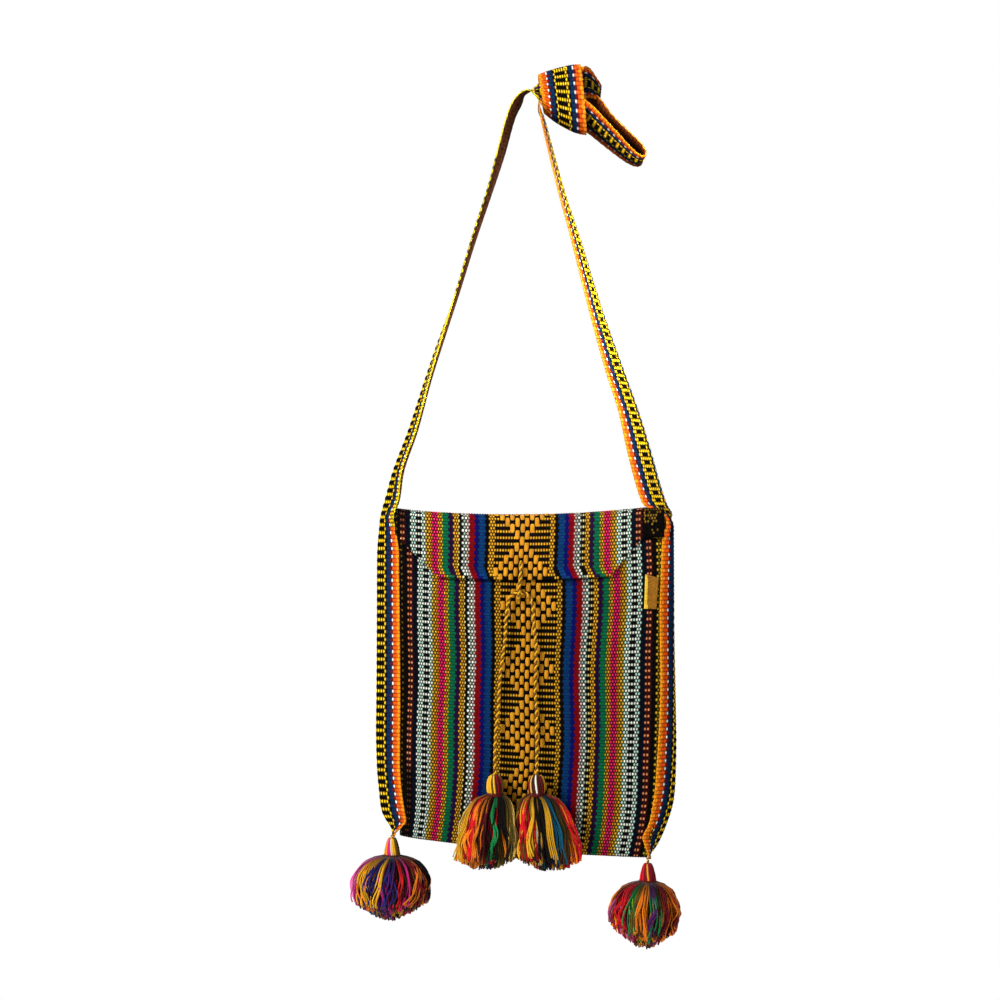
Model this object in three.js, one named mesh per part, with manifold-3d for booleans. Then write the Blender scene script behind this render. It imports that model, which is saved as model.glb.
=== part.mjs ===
// Woven crossbody bag, hung by its knotted strap, in millimetres.
// +Z is up, the front faces -Y, and the origin is where the strap lies over what holds it.
import * as THREE from 'three';
import { mergeVertices } from 'three/addons/utils/BufferGeometryUtils.js';
import Module from 'manifold-3d';

// Cloth and strap
const CLOTH_THICK = 1.6;
const STRAP_THICK = 1.6;
const SEAM_GAP = 0.7;
const JOIN_GAP = 0.6;
const ACROSS_CLOTH = 12;
const ACROSS_STRAP = 6;

// Bag: where its top and bottom edges lie, below the hanging point
const TOP_LEFT = -341.8;
const TOP_RIGHT = -339.8;
const TOP_SAG = 6;
const BOTTOM_LEFT = -609;
const BOTTOM_RIGHT = -627.3;
const BOTTOM_SAG = 3.2;
const FOLD_RISE = 6;
const MOUTH_DROP = 14;
const CREST_GAP_DEGREES = 5;
const KEEL_GAP_DEGREES = 26;

// Flap
const FLAP_STAND_OFF = 2.6;

// Cords
const TIE_CORD_DIAMETER = 2.8;
const LOOP_CORD_DIAMETER = 2.6;
const CORD_SIDES = 8;
const TIE_CORD_STEPS = 46;
const LOOP_CORD_STEPS = 16;

// Label
const LABEL_WIDTH = 11;
const LABEL_HEIGHT = 28;
const LABEL_THICK = 1.2;
const LABEL_ACROSS = 0.955;
const LABEL_DOWN = 0.225;
const LABEL_STAND_OFF = 1.0;
const LABEL_LEAN_DEGREES = 2;
const LABEL_TURN_DEGREES = 6;

// Bag from mouth (0) to bottom fold (1): side seams, and half the depth at each seam and in the middle
const BAG = [
  { down: 0.0, left: -105.5, right: 108.5, depthLeft: 7.0, depthMiddle: 8.0, depthRight: 8.5 },
  { down: 0.25, left: -105.0, right: 109.0, depthLeft: 6.6, depthMiddle: 10.0, depthRight: 9.5 },
  { down: 0.55, left: -104.5, right: 108.5, depthLeft: 5.6, depthMiddle: 12.0, depthRight: 9.5 },
  { down: 0.8, left: -104.0, right: 106.5, depthLeft: 4.6, depthMiddle: 10.5, depthRight: 8.0 },
  { down: 0.93, left: -104.5, right: 102.0, depthLeft: 3.6, depthMiddle: 7.0, depthRight: 5.0 },
  { down: 1.0, left: -105.5, right: 97.5, depthLeft: 2.6, depthMiddle: 4.0, depthRight: 2.8 },
];

// Flap below the top fold: its two side edges, with the lower corners cut away
const FLAP = [
  { drop: 0, left: -105.0, right: 89.5 },
  { drop: 2.4, left: -105.0, right: 110.0 },
  { drop: 19, left: -105.0, right: 111.0 },
  { drop: 20.5, left: -103.4, right: 92.0 },
  { drop: 25, left: -98.0, right: 87.5 },
  { drop: 33.5, left: -91.0, right: 79.0 },
  { drop: 46.7, left: -76.0, right: 66.0 },
];

// Strap where it is the side of the bag: how far it stands out from each seam
const SIDES = [
  { down: 0.0, left: 17.5, right: 9.2 },
  { down: 0.15, left: 19.0, right: 9.5 },
  { down: 0.35, left: 20.3, right: 10.2 },
  { down: 0.55, left: 20.6, right: 11.2 },
  { down: 0.73, left: 20.8, right: 12.2 },
  { down: 0.82, left: 20.0, right: 12.2 },
  { down: 0.91, left: 17.5, right: 11.0 },
  { down: 0.97, left: 12.5, right: 8.5 },
  { down: 1.0, left: 6.0, right: 5.0 },
];

// Strap ends, gathered to a point below the two bottom corners
const STRAP_POINTS = {
  left: { x: -111.0, y: 0, z: -610.0, half: 1.2, bulge: 1.6, turn: 0 },
  right: { x: 98.4, y: 0, z: -628.5, half: 1.2, bulge: 1.6, turn: 0 },
};

// Strap runs above the bag: place, half width, how far it bows, and turn of the front edge inwards in degrees
const LEFT_RUN = [
  { x: -106.8, y: 0, z: -334, half: 11.0, bulge: 11.0, turn: 0 },
  { x: -103.5, y: 0, z: -310, half: 17.0, bulge: 7.6, turn: 0 },
  { x: -92.0, y: 0, z: -277, half: 18.4, bulge: 6.6, turn: 1 },
  { x: -80.0, y: 0, z: -236, half: 19.4, bulge: 4.4, turn: 1 },
  { x: -71.0, y: 0, z: -203, half: 19.6, bulge: 3.5, turn: 0 },
  { x: -58.0, y: 0, z: -162, half: 20.0, bulge: 1.5, turn: -2 },
  { x: -45.5, y: 0, z: -121, half: 20.0, bulge: 1.2, turn: -6 },
  { x: -32.0, y: 0, z: -80, half: 20.0, bulge: 1.2, turn: -8 },
  { x: -22.5, y: 0, z: -48, half: 20.0, bulge: 1.2, turn: -11 },
  { x: -14.0, y: 0, z: -18, half: 18.0, bulge: 1.5, turn: -11 },
];
const RIGHT_RUN = [
  { x: 9.5, y: 0, z: -19, half: 16.0, bulge: 2.0, turn: 4 },
  { x: 15.0, y: 0, z: -39, half: 19.0, bulge: 1.5, turn: 8 },
  { x: 26.0, y: 0, z: -80, half: 20.0, bulge: 1.5, turn: 11 },
  { x: 37.6, y: 0, z: -121, half: 20.0, bulge: 1.5, turn: 13 },
  { x: 54.0, y: 0, z: -179, half: 20.0, bulge: 2.0, turn: 18 },
  { x: 69.3, y: 0, z: -228, half: 19.5, bulge: 3.0, turn: 25 },
  { x: 80.8, y: 0, z: -262, half: 19.0, bulge: 4.5, turn: 30 },
  { x: 90.3, y: 0.5, z: -295, half: 18.5, bulge: 6.0, turn: 35 },
  { x: 96.2, y: 1.5, z: -318, half: 18.5, bulge: 7.0, turn: 35 },
  { x: 100.4, y: 3.0, z: -335, half: 17.0, bulge: 8.0, turn: 33 },
  { x: 106.8, y: 0.5, z: -350, half: 9.5, bulge: 9.5, turn: 20 },
];
const RIGHT_SIDE_TOP = 0.045;

// Strap over the hanging point, through the knot and round its far end:
// place, direction from the back edge to the front edge, and half width
const INTO_KNOT = [
  { x: -8.0, y: 0.0, z: -6.5, ax: -0.15, ay: -1, az: 0.0, half: 15 },
  { x: -3.8, y: 0.0, z: -0.8, ax: 0.0, ay: -1, az: -0.05, half: 13 },
  { x: 1.0, y: -0.8, z: 0.8, ax: 0.0, ay: -1, az: -0.2, half: 12 },
  { x: 6.5, y: -1.8, z: 0.0, ax: 0.0, ay: -0.8, az: -0.6, half: 12 },
  { x: 12.5, y: -2.6, z: -1.4, ax: 0.0, ay: -0.35, az: -0.94, half: 14.5 },
  { x: 22.0, y: -3.0, z: -3.5, ax: 0.0, ay: -0.1, az: -1.0, half: 18 },
  { x: 36.0, y: -4.0, z: 1.0, ax: 0.0, ay: -0.05, az: -1.0, half: 16 },
  { x: 47.0, y: -5.2, z: 6.5, ax: -0.05, ay: 0.0, az: -1.0, half: 13.5 },
  { x: 55.0, y: -4.2, z: 1.5, ax: -0.1, ay: 0.0, az: -1.0, half: 8.5 },
  { x: 58.6, y: 0.2, z: -1.0, ax: -0.1, ay: 0.0, az: -1.0, half: 6.5 },
  { x: 55.0, y: 4.6, z: 1.0, ax: -0.1, ay: 0.0, az: -1.0, half: 8.5 },
  { x: 47.0, y: 5.6, z: 5.5, ax: -0.05, ay: 0.0, az: -1.0, half: 12.5 },
  { x: 36.0, y: 5.2, z: 4.0, ax: 0.0, ay: 0.0, az: -1.0, half: 15 },
];
const OUT_OF_KNOT = [
  { x: 34.0, y: -0.4, z: -13.0, ax: -0.1, ay: 0.5, az: -0.86, half: 14 },
  { x: 44.0, y: -2.6, z: -18.5, ax: -0.3, ay: 0.85, az: -0.4, half: 15.5 },
  { x: 55.4, y: -4.0, z: -28.8, ax: -0.22, ay: 0.93, az: -0.29, half: 17 },
  { x: 69.4, y: -4.0, z: -41.8, ax: -0.15, ay: 0.97, az: -0.19, half: 18 },
  { x: 83.4, y: -3.0, z: -53.8, ax: -0.07, ay: 0.99, az: -0.1, half: 18.5 },
  { x: 91.0, y: -2.0, z: -57.3, ax: -0.04, ay: 1.0, az: -0.05, half: 18.5 },
  { x: 94.0, y: -1.0, z: -55.0, ax: -0.04, ay: 1.0, az: -0.05, half: 18.5 },
  { x: 89.8, y: 0.0, z: -48.8, ax: -0.09, ay: 0.98, az: -0.12, half: 18.5 },
  { x: 76.4, y: 1.0, z: -37.4, ax: -0.15, ay: 0.96, az: -0.2, half: 18 },
  { x: 63.6, y: 3.0, z: -24.6, ax: -0.2, ay: 0.94, az: -0.26, half: 16.5 },
  { x: 53.0, y: 4.0, z: -13.0, ax: -0.25, ay: 0.7, az: -0.65, half: 13 },
  { x: 42.0, y: 3.0, z: -8.0, ax: -0.05, ay: 0.25, az: -0.97, half: 13 },
  { x: 26.0, y: 2.0, z: -5.0, ax: 0.0, ay: -0.15, az: -1.0, half: 15 },
  { x: 14.5, y: 1.8, z: -3.5, ax: 0.0, ay: -0.4, az: -0.92, half: 13 },
  { x: 9.6, y: 1.0, z: -5.8, ax: 0.0, ay: -0.85, az: -0.4, half: 13 },
  { x: 8.2, y: 0.2, z: -11.5, ax: 0.0, ay: -1, az: 0.0, half: 14 },
];

// Turn of the strap round the knot: along the knot, its middle height, half height and half depth
const WRAP = [
  { x: 9.5, z: -1.6, halfHeight: 15.0, halfDepth: 9.5 },
  { x: 18.0, z: -3.4, halfHeight: 20.0, halfDepth: 11.5 },
  { x: 28.0, z: -5.0, halfHeight: 24.5, halfDepth: 13.0 },
  { x: 37.0, z: -6.0, halfHeight: 27.5, halfDepth: 14.0 },
  { x: 45.0, z: -6.4, halfHeight: 28.5, halfDepth: 13.5 },
];
const WRAP_STEPS = 30;
const WRAP_START = 50;
const WRAP_TURN = 430;
const WRAP_TUCK = 0.86;
const WRAP_SLANT = 2.5;

// Routes of the two cords
const FLAP_LOOP_ROUTE = [
  { x: -6.6, y: -14.8, z: -384 },
  { x: -6.9, y: -15.2, z: -391 },
  { x: -7.6, y: -17.4, z: -400 },
  { x: -8.2, y: -19.6, z: -407.5 },
  { x: -8.5, y: -18.6, z: -412.6 },
  { x: -8.5, y: -15.4, z: -414.2 },
  { x: -8.4, y: -12.6, z: -412.2 },
  { x: -8.0, y: -12.0, z: -406.5 },
  { x: -7.4, y: -12.0, z: -400.2 },
];
const TIE_CORD_ROUTE = [
  { x: -27.9, y: -20.4, z: -557.0 },
  { x: -27.9, y: -19.4, z: -545.0 },
  { x: -27.7, y: -18.2, z: -532.0 },
  { x: -26.8, y: -17.2, z: -519.0 },
  { x: -25.2, y: -16.2, z: -506.0 },
  { x: -24.4, y: -16.0, z: -490.0 },
  { x: -23.2, y: -16.0, z: -473.0 },
  { x: -21.3, y: -16.0, z: -460.0 },
  { x: -19.6, y: -16.0, z: -446.0 },
  { x: -18.9, y: -15.8, z: -432.0 },
  { x: -17.6, y: -15.4, z: -420.0 },
  { x: -14.8, y: -15.7, z: -412.2 },
  { x: -8.4, y: -15.8, z: -409.9 },
  { x: -2.2, y: -15.7, z: -410.8 },
  { x: 1.6, y: -15.5, z: -416.0 },
  { x: 3.2, y: -15.6, z: -425.0 },
  { x: 4.0, y: -15.8, z: -438.0 },
  { x: 5.4, y: -16.0, z: -453.0 },
  { x: 5.2, y: -16.0, z: -470.0 },
  { x: 4.8, y: -16.0, z: -488.0 },
  { x: 5.8, y: -16.2, z: -506.0 },
  { x: 5.6, y: -17.2, z: -520.0 },
  { x: 6.2, y: -18.2, z: -534.0 },
  { x: 5.8, y: -19.4, z: -546.0 },
  { x: 5.9, y: -20.4, z: -557.0 },
];

// Tassels: top of the head, head size, skirt size, how far the skirt hangs to the side and forward,
// and its flatness
const TASSELS = [
  { name: 'tie_tassel_left', x: -27.9, y: -20.4, z: -557.3, headHeight: 15, headRadius: 6.6,
    skirtHeight: 59, skirtRadius: 25.4, sideways: -9.2, forward: 3.0, flat: 0.5, shape: 'bell', hanger: 0,
    turn: 0.1 },
  { name: 'tie_tassel_right', x: 5.9, y: -20.4, z: -557.3, headHeight: 15, headRadius: 6.6,
    skirtHeight: 60, skirtRadius: 27.4, sideways: 10.6, forward: 3.0, flat: 0.5, shape: 'bell', hanger: 0,
    turn: 0.45 },
  { name: 'corner_tassel_left', x: -112.3, y: 0, z: -612.0, headHeight: 14.2, headRadius: 7.0,
    skirtHeight: 51.5, skirtRadius: 34.3, sideways: -1.6, forward: 0, flat: 0.9, shape: 'dome', hanger: 1.6,
    turn: 0.25 },
  { name: 'corner_tassel_right', x: 97.4, y: 0, z: -633.0, headHeight: 14, headRadius: 7.2,
    skirtHeight: 53.5, skirtRadius: 31.6, sideways: -2.8, forward: 0, flat: 0.9, shape: 'dome', hanger: 4.1,
    turn: 0.6 },
];
const HEAD_PROFILE = [
  { out: 0.3, down: 0.02 },
  { out: 0.72, down: 0.16 },
  { out: 0.98, down: 0.42 },
  { out: 1.0, down: 0.68 },
  { out: 0.78, down: 0.94 },
  { out: 0.66, down: 1.1 },
];
const SKIRT_PROFILES = {
  bell: [
    { out: 0.2, down: -0.06, thick: 0.13 },
    { out: 0.4, down: 0.1, thick: 0.16 },
    { out: 0.63, down: 0.36, thick: 0.2 },
    { out: 0.77, down: 0.68, thick: 0.23 },
    { out: 0.72, down: 1.0, thick: 0.14 },
  ],
  dome: [
    { out: 0.12, down: -0.06, thick: 0.11 },
    { out: 0.46, down: 0.08, thick: 0.2 },
    { out: 0.72, down: 0.3, thick: 0.25 },
    { out: 0.7, down: 0.62, thick: 0.26 },
    { out: 0.38, down: 1.0, thick: 0.2 },
  ],
};
const LOCKS = 11;
const LOCK_SIDES = 5;
const LOCK_STEPS = 5;
const LOCK_UNEVEN = 0.05;
const CORE_SHARE = 0.9;
const TASSEL_SIDES = 12;
const HANGER_DIAMETER = 2.4;

const wasm = await Module();
wasm.setup();
const { Manifold, Mesh } = wasm;

// Smooth value of one column of a table, at a place along the column that orders its rows.
function read(table, order, column, at) {
  const last = table.length - 1;
  const rising = table[last][order] > table[0][order];
  const before = (row) => (rising ? table[row][order] <= at : table[row][order] >= at);
  let row = 0;
  while (row < last - 1 && before(row + 1)) row += 1;
  const slope = (a, b) => (table[b][column] - table[a][column]) / (table[b][order] - table[a][order]);
  const span = table[row + 1][order] - table[row][order];
  const t = THREE.MathUtils.clamp((at - table[row][order]) / span, 0, 1);
  const start = slope(Math.max(row - 1, 0), row + 1) * span;
  const end = slope(row, Math.min(row + 2, last)) * span;
  const t2 = t * t;
  const t3 = t2 * t;
  return (
    table[row][column] * (2 * t3 - 3 * t2 + 1) +
    start * (t3 - 2 * t2 + t) +
    table[row + 1][column] * (3 * t2 - 2 * t3) +
    end * (t3 - t2)
  );
}

// Straight-line value of one column of a table, for edges with corners.
function readStraight(table, order, column, at) {
  let row = 0;
  while (row < table.length - 2 && table[row + 1][order] <= at) row += 1;
  const a = table[row];
  const b = table[row + 1];
  return a[column] + ((b[column] - a[column]) * (at - a[order])) / (b[order] - a[order]);
}

// Geometry from corner points and triangles, with points in the same place joined.
function geometry(points, triangles) {
  const shape = new THREE.BufferGeometry();
  shape.setAttribute('position', new THREE.Float32BufferAttribute(points.flatMap((p) => [p.x, p.y, p.z]), 3));
  shape.setIndex(triangles);
  return mergeVertices(shape, 1e-4);
}

// Closed wall of even thickness on both sides of a sheet of points.
function wall(sheet, thick) {
  const rows = sheet.length;
  const columns = sheet[0].length;
  const points = [];
  for (const side of [0.5, -0.5]) {
    for (let i = 0; i < rows; i += 1) {
      for (let j = 0; j < columns; j += 1) {
        const along = sheet[Math.min(i + 1, rows - 1)][j].clone().sub(sheet[Math.max(i - 1, 0)][j]);
        const across = sheet[i][Math.min(j + 1, columns - 1)].clone().sub(sheet[i][Math.max(j - 1, 0)]);
        const normal = along.cross(across).normalize();
        points.push(sheet[i][j].clone().addScaledVector(normal, side * thick));
      }
    }
  }
  const triangles = [];
  const quad = (a, b, c, d) => triangles.push(a, b, c, a, c, d);
  const outer = (i, j) => i * columns + j;
  const inner = (i, j) => rows * columns + i * columns + j;
  for (let i = 0; i < rows - 1; i += 1) {
    for (let j = 0; j < columns - 1; j += 1) {
      quad(outer(i, j), outer(i + 1, j), outer(i + 1, j + 1), outer(i, j + 1));
      quad(inner(i, j), inner(i, j + 1), inner(i + 1, j + 1), inner(i + 1, j));
    }
    quad(outer(i, 0), inner(i, 0), inner(i + 1, 0), outer(i + 1, 0));
    const j = columns - 1;
    quad(outer(i, j), outer(i + 1, j), inner(i + 1, j), inner(i, j));
  }
  for (let j = 0; j < columns - 1; j += 1) {
    quad(outer(0, j), outer(0, j + 1), inner(0, j + 1), inner(0, j));
    const i = rows - 1;
    quad(outer(i, j), inner(i, j), inner(i, j + 1), outer(i, j + 1));
  }
  return geometry(points, triangles);
}

// Round bar with a new radius at each point of its route, closed at both ends.
function bar(route, radii, sides) {
  const curve = new THREE.CatmullRomCurve3(route, false, 'centripetal');
  const points = [];
  const triangles = [];
  const frames = curve.computeFrenetFrames(route.length - 1, false);
  route.forEach((centre, i) => {
    for (let k = 0; k < sides; k += 1) {
      const angle = (2 * Math.PI * k) / sides;
      points.push(
        centre
          .clone()
          .addScaledVector(frames.normals[i], radii[i] * Math.cos(angle))
          .addScaledVector(frames.binormals[i], radii[i] * Math.sin(angle)),
      );
    }
  });
  const last = route.length - 1;
  for (let i = 0; i < last; i += 1) {
    for (let k = 0; k < sides; k += 1) {
      const a = i * sides + k;
      const b = i * sides + ((k + 1) % sides);
      triangles.push(a, b, b + sides, a, b + sides, a + sides);
    }
  }
  for (let k = 1; k < sides - 1; k += 1) {
    triangles.push(0, k + 1, k);
    triangles.push(last * sides, last * sides + k, last * sides + k + 1);
  }
  return geometry(points, triangles);
}

function solid(shape) {
  const plain = new THREE.BufferGeometry();
  plain.setAttribute('position', shape.getAttribute('position'));
  plain.setIndex(shape.index);
  const joined = mergeVertices(plain, 1e-4);
  return new Manifold(
    new Mesh({
      numProp: 3,
      vertProperties: new Float32Array(joined.attributes.position.array),
      triVerts: new Uint32Array(joined.index.array),
    }),
  );
}

function shapeOf(made) {
  const mesh = made.getMesh();
  const shape = new THREE.BufferGeometry();
  shape.setAttribute('position', new THREE.BufferAttribute(new Float32Array(mesh.vertProperties), 3));
  shape.setIndex(new THREE.BufferAttribute(new Uint32Array(mesh.triVerts), 1));
  return shape;
}

const bag = new THREE.Group();

function add(name, shape, colour) {
  const material = new THREE.MeshStandardMaterial({ color: colour, roughness: 0.9 });
  const mesh = new THREE.Mesh(shape, material);
  mesh.name = name;
  bag.add(mesh);
}

// Body cloth
const topEdge = (s) => THREE.MathUtils.lerp(TOP_LEFT, TOP_RIGHT, s) - TOP_SAG * 4 * s * (1 - s);
const bottomEdge = (s) =>
  THREE.MathUtils.lerp(BOTTOM_LEFT, BOTTOM_RIGHT, s) - BOTTOM_SAG * Math.sin(Math.PI * s);
const seam = (side, down) => read(BAG, 'down', side, down);

function halfDepth(s, down) {
  const left = read(BAG, 'down', 'depthLeft', down);
  const middle = read(BAG, 'down', 'depthMiddle', down);
  const right = read(BAG, 'down', 'depthRight', down);
  return left * (1 - s) * (1 - 2 * s) + middle * 4 * s * (1 - s) + right * s * (2 * s - 1);
}

// Point of the front (-1) or back (1) of the bag.
function panelPoint(s, down, facing) {
  const x = THREE.MathUtils.lerp(seam('left', down), seam('right', down), s);
  const floor = bottomEdge(s) + halfDepth(s, 1);
  const z = THREE.MathUtils.lerp(topEdge(s) - FOLD_RISE, floor, down);
  return new THREE.Vector3(x, facing * halfDepth(s, down), z);
}

function flapPoint(s, drop) {
  const x = THREE.MathUtils.lerp(
    readStraight(FLAP, 'drop', 'left', drop),
    readStraight(FLAP, 'drop', 'right', drop),
    s,
  );
  const place = THREE.MathUtils.clamp((x - BAG[0].left) / (BAG[0].right - BAG[0].left), 0, 1.02);
  const z = topEdge(THREE.MathUtils.clamp(place, 0, 1)) - FOLD_RISE - drop;
  const down = drop / (-BOTTOM_LEFT + TOP_LEFT);
  return new THREE.Vector3(x, -halfDepth(place, down) - FLAP_STAND_OFF, z);
}

const clothRow = (point) => Array.from({ length: ACROSS_CLOTH + 1 }, (_, j) => point(j / ACROSS_CLOTH));

// Row of the top fold, from the flap (0 degrees) over the crest to the back (180 degrees).
function topFoldRow(degrees) {
  const angle = THREE.MathUtils.degToRad(degrees);
  return clothRow((s) => {
    const front = flapPoint(s, 0);
    const back = panelPoint(s, 0, 1);
    const middle = front.clone().add(back).multiplyScalar(0.5);
    middle.x = THREE.MathUtils.lerp(front.x, back.x, degrees / 180);
    middle.y -= ((back.y - front.y) / 2) * Math.cos(angle);
    middle.z += FOLD_RISE * Math.sin(angle);
    return middle;
  });
}

// Row of the bottom fold, from the back (0 degrees) under the bag to the front (180 degrees).
function bottomFoldRow(degrees) {
  const angle = THREE.MathUtils.degToRad(degrees);
  return clothRow((s) => {
    const point = panelPoint(s, 1, 1);
    point.z -= point.y * Math.sin(angle);
    point.y *= Math.cos(angle);
    return point;
  });
}

const downSteps = [0, 0.08, 0.17, 0.27, 0.37, 0.47, 0.57, 0.67, 0.76, 0.84, 0.91, 0.96, 1];
const mouth = MOUTH_DROP / (TOP_LEFT - BOTTOM_LEFT);
const flapSheet = [
  ...[46.7, 40, 33.5, 25, 20.5, 19, 10, 2.4, 0].map((drop) => clothRow((s) => flapPoint(s, drop))),
  ...[30, 60, 90 - CREST_GAP_DEGREES / 2].map(topFoldRow),
];
const backSheet = [
  ...[90 + CREST_GAP_DEGREES / 2, 120, 150].map(topFoldRow),
  ...downSteps.map((down) => clothRow((s) => panelPoint(s, down, 1))),
  ...[45, 90 - KEEL_GAP_DEGREES / 2].map(bottomFoldRow),
];
const frontSheet = [
  ...[90 + KEEL_GAP_DEGREES / 2, 135].map(bottomFoldRow),
  ...[...downSteps.toReversed().slice(0, -2), mouth].map((down) => clothRow((s) => panelPoint(s, down, -1))),
];
add('flap_cloth', wall(flapSheet, CLOTH_THICK), 0x8a5a2a);
add('back_cloth', wall(backSheet, CLOTH_THICK), 0x8a5a2a);
add('front_cloth', wall(frontSheet, CLOTH_THICK), 0x8a5a2a);

// Strap
// One row of points across the strap, from its back edge to its front edge.
function strapRow({ centre, across, outward, half, bulge }) {
  return Array.from({ length: ACROSS_STRAP + 1 }, (_, j) => {
    const angle = Math.PI * (j / ACROSS_STRAP - 0.5);
    return centre
      .clone()
      .addScaledVector(across, half * Math.sin(angle))
      .addScaledVector(outward, bulge * Math.cos(angle));
  });
}

function sideRow(side, down) {
  const sign = side === 'left' ? -1 : 1;
  const s = side === 'left' ? 0 : 1;
  const edge = panelPoint(s, down, 1);
  return strapRow({
    centre: new THREE.Vector3(edge.x + sign * SEAM_GAP, 0, edge.z),
    across: new THREE.Vector3(0, -1, 0),
    outward: new THREE.Vector3(sign, 0, 0),
    half: edge.y,
    bulge: read(SIDES, 'down', side, down),
  });
}

function runRow(side, place) {
  const sign = side === 'left' ? -1 : 1;
  const turn = THREE.MathUtils.degToRad(place.turn);
  return strapRow({
    centre: new THREE.Vector3(place.x, place.y, place.z),
    across: new THREE.Vector3(-sign * Math.sin(turn), -Math.cos(turn), 0),
    outward: new THREE.Vector3(sign * Math.cos(turn), -Math.sin(turn), 0),
    half: place.half,
    bulge: place.bulge,
  });
}

function knotRow(place) {
  return strapRow({
    centre: new THREE.Vector3(place.x, place.y, place.z),
    across: new THREE.Vector3(place.ax, place.ay, place.az).normalize(),
    outward: new THREE.Vector3(0, 0, 1),
    half: place.half,
    bulge: 0,
  });
}

// Rows with smooth ones put between them.
function smoothRows(rows, between) {
  const curves = rows[0].map((_, j) => {
    const line = rows.map((row) => row[j]);
    return new THREE.CatmullRomCurve3(line, false, 'centripetal');
  });
  const steps = (rows.length - 1) * between;
  return Array.from({ length: steps + 1 }, (_, i) => curves.map((curve) => curve.getPoint(i / steps)));
}

function wrapSheet() {
  return Array.from({ length: WRAP_STEPS + 1 }, (_, i) => {
    const degrees = WRAP_START + (WRAP_TURN * i) / WRAP_STEPS;
    const angle = THREE.MathUtils.degToRad(degrees);
    const tuck = THREE.MathUtils.lerp(WRAP_TUCK, 1, THREE.MathUtils.smoothstep(i / WRAP_STEPS, 0, 0.16));
    return WRAP.map(
      (place) =>
        new THREE.Vector3(
          place.x - WRAP_SLANT * Math.sin(angle),
          Math.cos(angle) * place.halfDepth * tuck,
          place.z + Math.sin(angle) * place.halfHeight * tuck,
        ),
    );
  });
}

// The band is made in lengths that follow on from each other: a side of the bag, a run, the knot,
// the other run and the other side.
const downSides = [0.15, 0.3, 0.45, 0.6, 0.72, 0.82, 0.9, 0.96, 1];
const leftDowns = [0, ...downSides];
const rightDowns = [RIGHT_SIDE_TOP, ...downSides];
const leftSide = [
  runRow('left', STRAP_POINTS.left),
  ...leftDowns.toReversed().map((down) => sideRow('left', down)),
];
const rightSide = [
  ...rightDowns.map((down) => sideRow('right', down)),
  runRow('right', STRAP_POINTS.right),
];
const nextRow = (row) => row.map((point) => point.clone().setZ(point.z + JOIN_GAP));
const leftRun = LEFT_RUN.map((place) => runRow('left', place));
const rightRun = RIGHT_RUN.map((place) => runRow('right', place));
const knot = [
  smoothRows([nextRow(leftRun.at(-1)), ...INTO_KNOT.map(knotRow)], 2),
  wrapSheet(),
  smoothRows([...OUT_OF_KNOT.map(knotRow), nextRow(rightRun[0])], 2),
]
  .map((sheet) => solid(wall(sheet, STRAP_THICK)))
  .reduce((all, piece) => all.add(piece));
add('strap_side_left', wall(leftSide, STRAP_THICK), 0x3a2a4a);
add('strap_run_left', wall([nextRow(leftSide.at(-1)), ...leftRun], STRAP_THICK), 0x3a2a4a);
add('strap_knot', shapeOf(knot), 0x3a2a4a);
add('strap_run_right', wall([...rightRun, nextRow(rightSide[0])], STRAP_THICK), 0x3a2a4a);
add('strap_side_right', wall(rightSide, STRAP_THICK), 0x3a2a4a);

// Cords
const vector = (place) => new THREE.Vector3(place.x, place.y, place.z);

function cord(route, diameter, steps) {
  const section = new THREE.Shape();
  for (let k = 0; k < CORD_SIDES; k += 1) {
    const angle = (2 * Math.PI * k) / CORD_SIDES;
    const x = (diameter / 2) * Math.cos(angle);
    const y = (diameter / 2) * Math.sin(angle);
    if (k === 0) section.moveTo(x, y);
    else section.lineTo(x, y);
  }
  section.closePath();
  const path = new THREE.CatmullRomCurve3(route.map(vector), false, 'centripetal');
  return new THREE.ExtrudeGeometry(section, { extrudePath: path, steps, curveSegments: 1 });
}
add('flap_loop', cord(FLAP_LOOP_ROUTE, LOOP_CORD_DIAMETER, LOOP_CORD_STEPS), 0xd8a030);
add('tie_cord', cord(TIE_CORD_ROUTE, TIE_CORD_DIAMETER, TIE_CORD_STEPS), 0xd8a030);

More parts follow.
